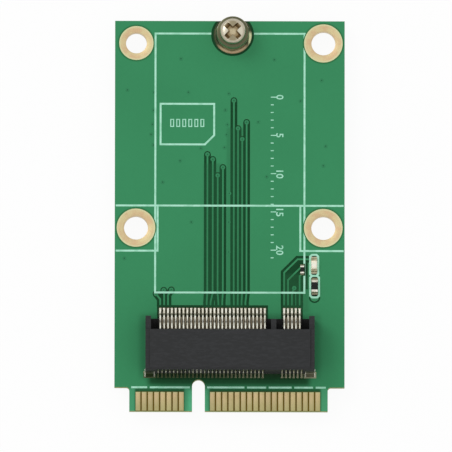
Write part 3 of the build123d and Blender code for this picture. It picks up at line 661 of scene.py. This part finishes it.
def easedCopy(name, node, width, finish):
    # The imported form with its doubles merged, flat faces joined and edges eased
    mesh = nodes[node].data.copy()
    form = bmesh.new()
    form.from_mesh(mesh)
    bmesh.ops.remove_doubles(form, verts=form.verts, dist=mergeDistance)
    bmesh.ops.dissolve_limit(form, angle_limit=math.radians(easing["flat"]),
                             verts=form.verts, edges=form.edges)
    bmesh.ops.recalc_face_normals(form, faces=form.faces)
    form.to_mesh(mesh)
    form.free()
    mesh.name = name
    if mesh.has_custom_normals:
        mesh.attributes.remove(mesh.attributes["custom_normal"])
    smoothMesh(mesh, 180)
    piece = showPiece(name, mesh, finish, (node,))
    bevel = piece.modifiers.new("eased", "BEVEL")
    bevel.width = width * mm
    bevel.segments = easing["segments"]
    bevel.limit_method = "ANGLE"
    bevel.angle_limit = math.radians(easing["bend"])
    bevel.harden_normals = True
    bevel.use_clamp_overlap = True
    return piece


def signedPower(value, power):
    # The size of a value raised to a power, with the value's own sign
    return np.sign(value) * np.abs(value) ** power


# A rounded edge has three points, and the middle one lies this share of its size in
roundShare = 0.3


def around(centre, radius, angle, height):
    # Points about an upright axis: centre + (r cos a, r sin a), z
    x = centre[0] + radius * np.cos(angle)
    y = centre[1] + radius * np.sin(angle)
    return np.stack((x, y, np.broadcast_to(height, x.shape)), -1)


def turned(profile, centre, segments):
    # Turned form: every point (r, z) of the profile at every angle of a full turn
    radius, height = np.asarray(profile, float).T
    angle = np.linspace(0, 2 * math.pi, segments, endpoint=False)
    return around(centre, radius, angle[:, None], height)


def roundedPath(corners, radii, steps=5):
    # Straight runs joined by arcs: an arc of radius r at a corner with half angle h
    # starts r / tan h before it, about a centre r / sin h along the corner's bisector
    corners = np.asarray(corners, float)
    parts = [corners[:1]]
    for before, corner, after, radius in zip(corners, corners[1:], corners[2:], radii):
        back = (before - corner) / np.linalg.norm(before - corner)
        ahead = (after - corner) / np.linalg.norm(after - corner)
        half = math.acos(np.clip(back @ ahead, -1, 1)) / 2
        bisector = (back + ahead) / np.linalg.norm(back + ahead)
        centre = corner + bisector * radius / math.sin(half)
        first = corner + back * radius / math.tan(half) - centre
        last = corner + ahead * radius / math.tan(half) - centre
        turn = math.pi - 2 * half
        part = np.linspace(0, 1, steps)[:, None]
        arc = (np.sin((1 - part) * turn) * first + np.sin(part * turn) * last) / math.sin(turn)
        parts.append(centre + arc)
    parts.append(corners[-1:])
    return np.concatenate(parts)


def formedStrip(path, thickness, width, side, edge):
    # Strip of metal along a path in its edge view: each section is a box with cut corners,
    # from the path to its thickness on one side, along the bisector of the path's normals
    # divided by the cosine of half the bend. Gives (along, width, up) points
    steps = np.diff(path, axis=0)
    steps /= np.linalg.norm(steps, axis=1)[:, None]
    along = np.concatenate((steps[:1], steps[:-1] + steps[1:], steps[-1:]))
    along /= np.linalg.norm(along, axis=1)[:, None]
    cosine = np.ones(len(path))
    cosine[1:-1] = np.sqrt((1 + np.sum(steps[:-1] * steps[1:], axis=1)) / 2)
    normal = side * np.stack((-along[:, 1], along[:, 0]), -1) / cosine[:, None]
    half = width / 2
    across = np.array([-half + edge, half - edge, half, half, half - edge, -half + edge,
                       -half, -half])
    depth = np.array([0, 0, edge, thickness - edge, thickness, thickness,
                      thickness - edge, edge])
    flat = path[:, None] + normal[:, None] * depth[None, :, None]
    points = np.empty(flat.shape[:2] + (3,))
    points[..., 0] = flat[..., 0]
    points[..., 1] = across
    points[..., 2] = flat[..., 1]
    return points


# Board, its copper and its plated holes

plating = dict(wall=0.05, edge=0.012, lip=0.024, segments=96)


def platingProfile(hole, ring):
    # Section of a plated hole: a thin wall with a flat land on each face of the board,
    # its outer edges a little rounded
    edge, lip = plating["edge"], plating["lip"]
    soft = lip * roundShare
    wall = hole + plating["wall"]
    top = boardTop + copperThickness
    return [
        (hole + edge, -copperThickness), (ring - edge, -copperThickness),
        (ring, edge - copperThickness), (ring, 0), (wall, 0), (wall, boardTop),
        (ring, boardTop), (ring, top - edge), (ring - edge, top), (hole + lip, top),
        (hole + soft, top - soft), (hole, top - lip), (hole, lip - copperThickness),
        (hole + soft, soft - copperThickness),
    ]


def holeRings():
    # The plating's section turned round each mounting hole
    for node, diameter in ringNodes.items():
        section = platingProfile(diameter / 2, outerRadius(node))
        points = turned(section, middle(node), plating["segments"])
        faces = gridFaces(points, closeRows=True)
        name = node.replace("hole_ring", "plated_hole")
        makePiece(name, points, faces, "gold", (node,))


notch = dict(radius=2.27, land=0.2, segments=80)


def notchPlating():
    # The same section round the open notch: each point's arc ends where it meets the
    # board's top edge, at asin(rise / r) above the notch's middle
    section = platingProfile(notch["radius"], notch["radius"] + notch["land"])
    radius, height = np.asarray(section).T
    rise = boardHigh.y - standoffCentre[1]
    over = np.arcsin(np.clip(rise / radius, -1, 1))
    share = np.linspace(0, 1, notch["segments"])[:, None]
    angle = (math.pi - over) + share * (math.pi + 2 * over)
    points = around(standoffCentre, radius, angle, height)
    makePiece("plated_notch", points, tubeFaces(points),
              "seat", ("standoff_pad",))


vias = dict(
    radius=0.25, segments=14,
    # Share of the radius and height over the board, from the rim inwards
    rings=((1.0, 0.001), (0.86, 0.018), (0.7, 0.02), (0.5, 0.012), (0.34, 0.005), (0.0, 0.002)),
    places=(
        (-6.33, 46.0), (5.75, 45.9), (11.87, 43.2), (-13.25, 41.9), (-9.79, 41.6),
        (-5.36, 41.6), (-0.13, 41.45), (9.14, 40.5), (-0.58, 39.3), (-0.31, 37.4),
        (-0.41, 36.1), (-0.68, 34.4), (-3.74, 34.3), (-6.42, 32.65), (-8.67, 29.85),
        (-0.04, 28.4), (-9.86, 39.25), (-10.01, 37.4), (-10.18, 36.1), (-9.86, 34.7),
        (3.67, 37.75), (4.78, 30.6), (12.1, 32.05), (-4.96, 24.65), (-0.12, 24.65),
        (-0.12, 20.75), (-2.88, 33.5), (-2.19, 32.85), (-1.55, 30.75), (-0.88, 31.8),
        (0.53, 40.55), (1.07, 36.9), (1.61, 35.5), (2.18, 37.7), (-9.5, 15.27),
        (-8.5, 15.75), (-7.52, 15.8), (8.35, 16.05), (12.4, 34.6), (-13.6, 19.9),
    ),
)


def viaCaps():
    # Each a low turned dimple: a rim a fiftieth of a millimetre high round a shallow dip
    profile = [(vias["radius"] * share, boardTop + rise) for share, rise in vias["rings"]]
    points = turned(profile, (0, 0), vias["segments"])
    faces = gridFaces(points, closeRows=True, closeColumns=False)
    columns = points.shape[1]
    faces.append([row * columns for row in range(points.shape[0])])
    shifts = [(x, y, 0) for x, y in vias["places"]]
    placed, allFaces = repeated(points, faces, shifts)
    makePiece("tented_vias", placed, allFaces, "via")
    # The same on the back, but for those that the card holder and its pads cover
    low, high = boxOf("holder_pads")
    edge = vias["radius"]
    shown = [(x, y, 0) for x, y in vias["places"]
             if not (low.x - edge < x < high.x + edge and low.y - edge < y < high.y + edge)]
    mirrored = points * (1, 1, -1) + (0, 0, boardTop)
    placed, allFaces = repeated(mirrored, faces, shown)
    makePiece("tented_vias_back", placed, allFaces, "via")


# Print

marks = dict(
    height=0.02, tickFrom=5.3, tickStep=1.0, tickWidth=0.13, shortTick=0.38, longTick=0.7,
    zero=41.0, ticks=22, numbered=5, numeralX=6.42, numeralSize=1.3, thicken=0.02,
    contactRow=(-7.45, 37.6), contactStep=0.78, contactSize=(0.5, 1.05), contactLine=0.13,
)


def bars(rectangles, chamfer=0.006):
    # Flat bars of ink with slightly sloping edges: three rectangles, one above the other
    base = np.array([(-1, -1), (1, -1), (1, 1), (-1, 1)], float)
    x, y, halfX, halfY = np.asarray(rectangles, float).T[:, :, None]
    layers = []
    for inset, height in ((0, 0), (0, marks["height"] - chamfer), (chamfer, marks["height"])):
        px = x + base[:, 0] * (halfX - inset)
        py = y + base[:, 1] * (halfY - inset)
        layers.append(np.stack((px, py, np.full_like(px, boardTop + height)), -1))
    points = np.stack(layers, 1)
    count, rows, columns = points.shape[:3]
    return points, repeatedFaces(tubeFaces(points[0]), rows * columns, count)


def lengthScale():
    # Millimetre ticks with a longer one where a number stands
    rectangles = []
    for step in range(marks["ticks"]):
        length = marks["shortTick"] if step % marks["numbered"] else marks["longTick"]
        y = marks["zero"] - step * marks["tickStep"]
        rectangles.append((marks["tickFrom"] + length / 2, y, length / 2, marks["tickWidth"] / 2))
    points, faces = bars(rectangles)
    makePiece("scale_ticks", points, faces, "ink")


def numeralMesh(body):
    # A flat number with its middle at the origin
    curve = bpy.data.curves.new("numeral", "FONT")
    curve.body = body
    curve.size = marks["numeralSize"] * mm
    curve.align_x = "CENTER"
    curve.align_y = "CENTER"
    curve.extrude = marks["height"] / 2 * mm
    curve.offset = marks["thicken"] * mm
    curve.resolution_u = 3
    shown = bpy.data.objects.new("numeral", curve)
    mesh = bpy.data.meshes.new_from_object(shown)
    bpy.data.objects.remove(shown)
    return mesh


def scaleNumerals():
    # Plain numbers beside the long ticks, read from the right side of the card: (u, v) of
    # the flat number goes to x = v and y = -u from the tick
    form = bmesh.new()
    for step in range(0, marks["ticks"], marks["numbered"]):
        mesh = numeralMesh(str(step))
        co = np.empty(len(mesh.vertices) * 3)
        mesh.vertices.foreach_get("co", co)
        co = co.reshape(-1, 3)
        turnedPoints = np.stack((
            co[:, 1] + marks["numeralX"] * mm,
            (marks["zero"] - step * marks["tickStep"]) * mm - co[:, 0],
            co[:, 2] + (boardTop + marks["height"] / 2) * mm,
        ), -1)
        mesh.vertices.foreach_set("co", turnedPoints.ravel())
        form.from_mesh(mesh)
        bpy.data.meshes.remove(mesh)
    bmesh.ops.remove_doubles(form, verts=form.verts, dist=mergeDistance)
    bmesh.ops.recalc_face_normals(form, faces=form.faces)
    mesh = bpy.data.meshes.new("scale_numerals")
    form.to_mesh(mesh)
    form.free()
    smoothMesh(mesh, 30)
    showPiece("scale_numerals", mesh, "ink")


def contactMarks():
    # Six outlined fields in a row, as on the face of a small card
    width, length = marks["contactSize"]
    line = marks["contactLine"]
    rectangles = []
    for number in range(6):
        x = marks["contactRow"][0] + number * marks["contactStep"]
        y = marks["contactRow"][1]
        for side in (-1, 1):
            rectangles.append((x + side * (width - line) / 2, y, line / 2, length / 2))
            rectangles.append((x, y + side * (length - line) / 2, width / 2 - line, line / 2))
    points, faces = bars(rectangles)
    makePiece("contact_marks", points, faces, "ink")


# Socket contacts

contact = dict(thickness=0.15, width=0.195, edge=0.02)
lowerShape = dict(
    corners=((13.31, 0), (12.65, 0), (12.25, 0.75), (7.95, 0.75), (7.95, 1.6), (10.4, 2.55),
             (10.7, 2.55), (11.25, 2.15)),
    radii=(0.28, 0.14, 0.3, 0.3, 0.35, 0.35), side=-1,
)
upperShape = dict(
    corners=((4.35, 0), (5.25, 0), (5.25, 3.3), (8.9, 3.22), (9.5, 3.55)),
    radii=(0.2, 0.12, 0.5), side=1,
)


def contactNumbers(group, remainder):
    # Even positions have lower contacts, remainder 0, and odd ones upper contacts
    first, last = socket[group]
    return [number for number in range(first, last + 1) if number % 2 == remainder]


def contactX(number):
    # Positions count down from the right, a pitch apart
    return socket["centre"] + (socket["middleNumber"] - number) * socket["pitch"]


def contactRow(name, shape, numbers, node):
    # A strip bent along its path in the plane of Y and Z, set down again at each position
    path = roundedPath(shape["corners"], shape["radii"])
    flat = formedStrip(path, contact["thickness"], contact["width"], shape["side"],
                       contact["edge"])
    points = np.stack((flat[..., 1], flat[..., 0], flat[..., 2] + boardTop), -1)
    shifts = [(contactX(number), 0, 0) for number in numbers]
    placed, faces = repeated(points, tubeFaces(points), shifts)
    makePiece(name, placed, faces, "spring", (node,))


def socketContacts():
    # Two levels of contacts, each in a long and a short group with the key between them
    for level, shape, remainder in (("lower", lowerShape, 0), ("upper", upperShape, 1)):
        for group in ("long", "short"):
            contactRow(f"{level}_springs_{group}", shape, contactNumbers(group, remainder),
                       f"{level}_contacts_{group}")


holdDown = dict(corners=((4.45, 0), (5.15, 0), (5.15, 2.2)), thickness=0.2, width=1.3,
                radius=0.3, edge=0.03)


def holdDowns():
    # A wide strip bent up from the board into the housing at each rear corner
    path = roundedPath(holdDown["corners"], (holdDown["radius"],), steps=8)
    flat = formedStrip(path, holdDown["thickness"], holdDown["width"], 1, holdDown["edge"])
    for side in ("left", "right"):
        node = f"hold_down_{side}"
        across = flat[..., 1] + middle(node)[0]
        points = np.stack((across, flat[..., 0], flat[..., 2] + boardTop), -1)
        makePiece(f"anchor_tab_{side}", points, tubeFaces(points), "anchor",
                  (node,))


mound = dict(rows=9, columns=7, height=0.11, power=3, spread=0.7, front=(12.64, 13.41),
             rear=(4.36, 4.83), halfWidth=0.145)


def moundPoints(halfX, halfY, height):
    # Pillow of solder: z = height (1 - |u|^p) (1 - |v|^p) over u and v from -1 to 1, whose
    # lines stand closer towards the rim
    u, v = [signedPower(np.linspace(-1, 1, mound[count]), mound["spread"])
            for count in ("columns", "rows")]
    u, v = np.meshgrid(u, v)
    power = mound["power"]
    z = height * (1 - np.abs(u) ** power) * (1 - np.abs(v) ** power)
    return np.stack((u * halfX, v * halfY, z), -1)


def moundFaces(points):
    # The pillow's grid, closed below by one face whose corners run round its rim
    rows, columns = points.shape[:2]
    faces = gridFaces(points, closeColumns=False)
    lower = [row * columns for row in range(rows - 1, 0, -1)]
    bottom = list(range(columns - 1))
    right = [row * columns + columns - 1 for row in range(rows - 1)]
    top = [(rows - 1) * columns + column for column in range(columns - 1, 0, -1)]
    faces.append(bottom + right + top + lower)
    return faces


def footSolder():
    # A pillow on the foot of each contact, in front of the socket and behind it
    for name, side, remainder in (("solder_front", "front", 0), ("solder_rear", "rear", 1)):
        start, end = mound[side]
        numbers = contactNumbers("short", remainder) + contactNumbers("long", remainder)
        points = moundPoints(mound["halfWidth"], (end - start) / 2, mound["height"])
        shifts = [(contactX(number), (start + end) / 2, boardTop) for number in numbers]
        placed, faces = repeated(points, moundFaces(points), shifts)
        makePiece(name, placed, faces, "solder")


# Standoff and screw

post = dict(edge=0.12, bore=1.0, boreEdge=0.05, segments=128)


def standoffBody():
    # Turned tube with its outer edges rounded and a small chamfer at the bore
    outer, top = outerRadius("standoff"), standoffTop
    bore, chamfer = post["bore"], post["boreEdge"]
    edge = post["edge"]
    soft = edge * roundShare
    profile = [
        (bore, 0), (outer - edge, 0), (outer - soft, soft), (outer, edge),
        (outer, top - edge), (outer - soft, top - soft), (outer - edge, top),
        (bore + chamfer, top), (bore, top - chamfer),
    ]
    points = turned(profile, standoffCentre, post["segments"])
    makePiece("threaded_standoff", points, gridFaces(points, closeRows=True), "post",
              ("standoff",), crease=30)


solderRing = dict(
    start=155, sweep=230, rise=0.3, reach=0.1, steps=72, curve=7, taper=0.35,
    # What the two ends keep of the rise and the reach
    endRise=0.25, endReach=0.4,
    # Depth, pace and start of each ripple in its height
    ripples=((0.12, 19, 0), (0.08, 43, 1)),
)


def standoffSolder():
    # Concave fillet between standoff and notch: from rise at the wall to the land,
    # thinner towards its two ends and a little uneven on the way
    inner = outerRadius("standoff")
    padTop = boardTop + copperThickness
    share = np.linspace(0, 1, solderRing["steps"])
    angle = np.radians(solderRing["start"] + solderRing["sweep"] * share)
    full = np.clip(np.sin(math.pi * share), 0, 1) ** solderRing["taper"]
    uneven = 1 - sum(depth * np.sin(share * pace + phase) ** 2
                     for depth, pace, phase in solderRing["ripples"])
    low, short = solderRing["endRise"], solderRing["endReach"]
    rise = solderRing["rise"] * (low + (1 - low) * full) * uneven
    across = np.linspace(0, 1, solderRing["curve"])
    outer = notch["radius"] + solderRing["reach"] * (short + (1 - short) * full)
    radius = inner + np.outer(outer - inner, across)
    height = padTop + np.outer(rise, (1 - across) ** 2)
    foot = np.array([[notch["radius"], padTop], [notch["radius"], 0], [inner, 0]])
    radius = np.concatenate((radius, np.broadcast_to(foot[:, 0], (len(share), 3))), 1)
    height = np.concatenate((height, np.broadcast_to(foot[:, 1], (len(share), 3))), 1)
    points = around(standoffCentre, radius, angle[:, None], height)
    makePiece("standoff_fillet", points, tubeFaces(points), "seat",
              ("standoff_solder",), crease=50)


screw = dict(
    head=1.69, rim=0.4, height=1.15, flat=0.75, shank=1.0, length=3.0, pitch=0.4,
    threadTop=-0.02, threadDepth=0.22, threadFrom=0.05, threadFade=0.3, recessHalf=1.3,
    recessFoot=0.75, recessWidth=0.62, recessDepth=0.72, coneRadius=0.55, coneSlope=0.3,
    turn=45, wallSoft=0.05, edge=0.05, tip=0.2, tipRadius=0.8, crownPower=2.2, segments=240,
    # Rings of points: close together over the recess, wider towards the rim
    fineRings=(0, 1.15, 44), rimRings=(1.18, 16), threadRings=104,
)


def screwRecess(x, y):
    # Depth of a cross recess: each wing is a bar with steep sides whose floor slopes up
    # to its end; a small cone joins the four wings
    turn = math.radians(screw["turn"])
    along = x * math.cos(turn) + y * math.sin(turn)
    across = y * math.cos(turn) - x * math.sin(turn)
    slope = screw["recessHalf"] - screw["recessFoot"]
    soft = screw["wallSoft"]
    depth = np.zeros_like(x)
    for a, b in ((along, across), (across, along)):
        wall = np.clip((screw["recessWidth"] / 2 + soft - np.abs(b)) / (2 * soft), 0, 1)
        floor = np.clip((screw["recessHalf"] - np.abs(a)) / slope, 0, 1)
        depth = np.maximum(depth, wall * wall * (3 - 2 * wall) * floor)
    cone = np.clip((screw["coneRadius"] - np.hypot(x, y)) / screw["coneSlope"], 0, 1)
    return screw["recessDepth"] * np.maximum(depth, cone)


def markRecess(mesh):
    # Each point's depth in the recess, 0 to 1, for the finish
    places = np.empty(len(mesh.vertices) * 3)
    mesh.vertices.foreach_get("co", places)
    x, y, z = places.reshape(-1, 3).T / mm
    depth = screwRecess(x - standoffCentre[0], y - standoffCentre[1]) / screw["recessDepth"]
    onHead = z > standoffTop + screw["rim"] / 2
    share = mesh.attributes.new("recess", "FLOAT", "POINT")
    share.data.foreach_set("value", depth * onHead)


def machineScrew():
    # Rings from the crown outwards, down the rim and along the shank, whose radius is
    # shank - depth (1 + cos(2 pi z / pitch + angle)) / 2 where it is threaded
    rimStart, rimCount = screw["rimRings"]
    crown = np.concatenate((np.linspace(*screw["fineRings"]),
                            np.linspace(rimStart, screw["head"], rimCount)))
    part = np.clip((crown - screw["flat"]) / (screw["head"] - screw["flat"]), 0, 1)
    crownHeight = (screw["rim"] + (screw["height"] - screw["rim"])
                   * np.sqrt(1 - part ** screw["crownPower"]))
    edge, end = screw["edge"], -screw["length"]
    thread = np.linspace(screw["threadTop"], end + screw["tip"], screw["threadRings"])
    radius = np.concatenate((crown, [screw["head"], screw["head"] - edge, screw["shank"]],
                             np.full(len(thread), screw["shank"]), [screw["tipRadius"], 0]))
    height = np.concatenate((crownHeight, [edge, 0, 0], thread, [end, end]))
    angle = np.linspace(0, 2 * math.pi, screw["segments"], endpoint=False)[:, None]
    wave = (1 + np.cos(2 * math.pi * height / screw["pitch"] + angle)) / 2
    fade = np.clip((-height - screw["threadFrom"]) / screw["threadFade"], 0, 1)
    fade = fade * (radius == screw["shank"])
    actual = radius - screw["threadDepth"] * wave * fade
    x = actual * np.cos(angle)
    y = actual * np.sin(angle)
    top = np.arange(len(radius)) < len(crown)
    z = height - np.where(top, screwRecess(x, y), 0)
    points = np.stack((x + standoffCentre[0], y + standoffCentre[1], z + standoffTop), -1)
    faces = gridFaces(points, closeRows=True, closeColumns=False)
    piece = makePiece("machine_screw", points, faces, "screw",
                      ("standoff_screw",), crease=42)
    markRecess(piece.data)


# Lamp

dome = dict(roundness=0.55, upright=0.5, around=64, up=14)


def lampDome():
    # Rounded block: x = a c(v) c(u), y = b c(v) s(u), z = h s(v), where c and s are the
    # cosine and sine raised to a power below one, with their signs kept
    low, high = boxOf("lamp_lens")
    u = np.linspace(0, 2 * math.pi, dome["around"], endpoint=False)[:, None]
    v = np.linspace(0, math.pi / 2, dome["up"])[None, :]
    spread = signedPower(np.cos(v), dome["upright"])
    x = (high.x - low.x) / 2 * spread * signedPower(np.cos(u), dome["roundness"])
    y = (high.y - low.y) / 2 * spread * signedPower(np.sin(u), dome["roundness"])
    z = np.broadcast_to((high.z - low.z) * signedPower(np.sin(v), dome["upright"]), x.shape)
    points = np.stack((x + (low.x + high.x) / 2, y + (low.y + high.y) / 2, z + low.z), -1)
    faces = gridFaces(points, closeRows=True, closeColumns=False)
    faces.append([row * dome["up"] for row in range(dome["around"])])
    makePiece("lamp_dome", points, faces, "lens", ("lamp_lens",), crease=50)


# Subscriber card holder on the back

springs = dict(
    pitch=2.54, thickness=0.12, width=1.0, edge=0.02,
    corners=((-0.7, 0), (1.9, 0), (4.39, -1.0), (4.99, -0.75)), radii=(0.5, 0.35),
)


def holderSprings():
    # Six strips in three rows, which reach in from both sides of the holder's shell
    path = roundedPath(springs["corners"], springs["radii"])
    flat = formedStrip(path, springs["thickness"], springs["width"], -1, springs["edge"])
    low, high = boxOf("holder_shell")
    groups = []
    for row in (-1, 0, 1):
        y = flat[..., 1] + (low.y + high.y) / 2 + row * springs["pitch"]
        for x in (low.x + flat[..., 0], high.x - flat[..., 0]):
            groups.append(np.stack((x, y, flat[..., 2]), -1))
    size = flat.shape[0] * flat.shape[1]
    points = np.stack(groups)
    faces = repeatedFaces(tubeFaces(flat), size, len(groups))
    makePiece("holder_spring_set", points, faces, "spring",
              ("holder_springs",))


# Eased copies and kept nodes

easedNodes = dict(
    socket_housing=("housing_moulded", 0.035, "housing", "housing_plastic"),
    edge_fingers_top=("finger_plates_top", 0.01, "finger", "gold_plate"),
    edge_fingers_back=("finger_plates_back", 0.01, "finger", "gold_plate"),
    lamp_base=("lamp_laminate_block", 0.02, "laminate", "lamp_board"),
    lamp_terminals=("lamp_end_caps", 0.03, "tin", "solder"),
    resistor_core=("resistor_block", 0.02, "ceramic", "ceramic_white"),
    resistor_caps=("resistor_end_caps", 0.035, "solder", "solder"),
    resistor_coat=("resistor_glaze", 0.012, "glaze", "resistor_coat"),
    small_resistor_core=("small_resistor_block", 0.015, "ceramic", "ceramic_white"),
    small_resistor_caps=("small_resistor_end_caps", 0.03, "solder", "solder"),
    small_resistor_coat=("small_resistor_glaze", 0.012, "glaze", "resistor_coat"),
    holder_shell=("holder_cover", 0.03, "stamped", "holder_steel"),
    holder_insert=("holder_base", 0.03, "holder", "holder_plastic"),
)
keptNodes = dict(
    circuit_board="resist", printed_lines="ink", front_solder_pads="tin",
    rear_solder_pads="tin", hold_down_pads="tin", component_pads="tin", holder_pads="tin",
    component_solder="tin",
)


def easedPieces():
    # Nodes that are shown with their own form and small bevels
    for node, (name, width, finish, slot) in easedNodes.items():
        easedCopy(name, node, width, finish)


def dressNodes():
    # Nodes that are shown as they are
    for node, finish in keptNodes.items():
        mesh = nodes[node].data
        mesh.materials.clear()
        mesh.materials.append(finishes[finish])


dressNodes()
easedPieces()
print("frame dressed and edges eased")
holeRings()
notchPlating()
viaCaps()
lengthScale()
scaleNumerals()
contactMarks()
print("board done")
socketContacts()
holdDowns()
footSolder()
print("socket done")
standoffBody()
standoffSolder()
machineScrew()
lampDome()
holderSprings()
print("small pieces done")


# Floor, light and camera

# Lengths in metres
stage = dict(
    floorSize=3.0, floorGap=1e-5, floorTone=tint(250, 250, 250), floorRoughness=0.9,
    floorGlow=0.93, worldLight=0.75, keyPower=2.4, keySize=0.5, keyPlace=(-0.6, 0.5, 0.75),
    keyAim=(0, 0.025, 0),
)


def whiteWorld():
    # White where it is seen, a little dimmer as a light
    world = bpy.data.worlds.new("studio")
    bpy.context.scene.world = world
    world.use_nodes = True
    graph = Graph(world.node_tree)
    background = graph.tree.nodes["Background"]
    light = stage["worldLight"]
    graph.feed(background.inputs["Color"], (1, 1, 1))
    graph.feed(background.inputs["Strength"], light + graph.seenDirectly() * (1 - light))


def paleFloor():
    # Pale sheet under the card; what the camera sees of it is mostly an even white, and
    # the rest takes the card's shadow
    half = stage["floorSize"] / 2
    z = cadLow.z - stage["floorGap"]
    corners = [(-half, -half, z), (half, -half, z), (half, half, z), (-half, half, z)]
    mesh = bpy.data.meshes.new("floor")
    mesh.from_pydata(corners, [], [(0, 1, 2, 3)])
    floor = bpy.data.objects.new("floor", mesh)
    bpy.context.scene.collection.objects.link(floor)
    material = bpy.data.materials.new("pale_floor")
    material.use_nodes = True
    graph = Graph(material.node_tree)
    shader = graph.tree.nodes["Principled BSDF"]
    graph.feed(shader.inputs["Base Color"], stage["floorTone"])
    graph.feed(shader.inputs["Roughness"], stage["floorRoughness"])
    glow = graph.node("Emission", sockets={"Strength": 1.0})
    share = graph.seenDirectly() * stage["floorGlow"]
    sockets = {0: share, 1: Field(graph, shader.outputs[0]), 2: glow}
    blend = graph.node("MixShader", sockets=sockets)
    graph.feed(graph.tree.nodes["Material Output"].inputs["Surface"], blend)
    mesh.materials.append(material)


def keyLamp():
    # One large soft lamp to the upper left
    data = bpy.data.lights.new("soft_box", "AREA")
    data.energy = stage["keyPower"]
    data.size = stage["keySize"]
    lamp = bpy.data.objects.new("soft_box", data)
    lamp.location = stage["keyPlace"]
    aim = Vector(stage["keyAim"]) - lamp.location
    lamp.rotation_euler = aim.to_track_quat("-Z", "Y").to_euler()
    bpy.context.scene.collection.objects.link(lamp)


# Lengths in millimetres, angles in degrees
view = dict(target=(-0.473, 24.14, 1.035), distance=2500.0, pitch=8.4, yaw=-0.4, roll=0.08,
            field=58.4, sensor=36.0, clip=(0.01, 10.0))


def photoCamera():
    # Long lens nearly straight above, leaning a little towards the tab
    data = bpy.data.cameras.new("camera")
    data.sensor_width = view["sensor"]
    data.lens = view["sensor"] * view["distance"] / view["field"]
    data.clip_start, data.clip_end = view["clip"]
    camera = bpy.data.objects.new("camera", data)
    lean = Vector((math.tan(math.radians(view["yaw"])), -math.tan(math.radians(view["pitch"])), 1))
    back = lean.normalized()
    right = Vector((0, 1, 0)).cross(back).normalized()
    right.rotate(Matrix.Rotation(math.radians(view["roll"]), 3, back))
    up = back.cross(right)
    place = Vector(view["target"]) * mm + back * view["distance"] * mm
    axes = ((right.x, up.x, back.x, place.x), (right.y, up.y, back.y, place.y),
            (right.z, up.z, back.z, place.z), (0, 0, 0, 1))
    camera.matrix_world = Matrix(axes)
    bpy.context.scene.collection.objects.link(camera)
    bpy.context.scene.camera = camera


whiteWorld()
paleFloor()
keyLamp()
photoCamera()
bpy.context.scene.view_settings.view_transform = "Standard"
print("stage set")
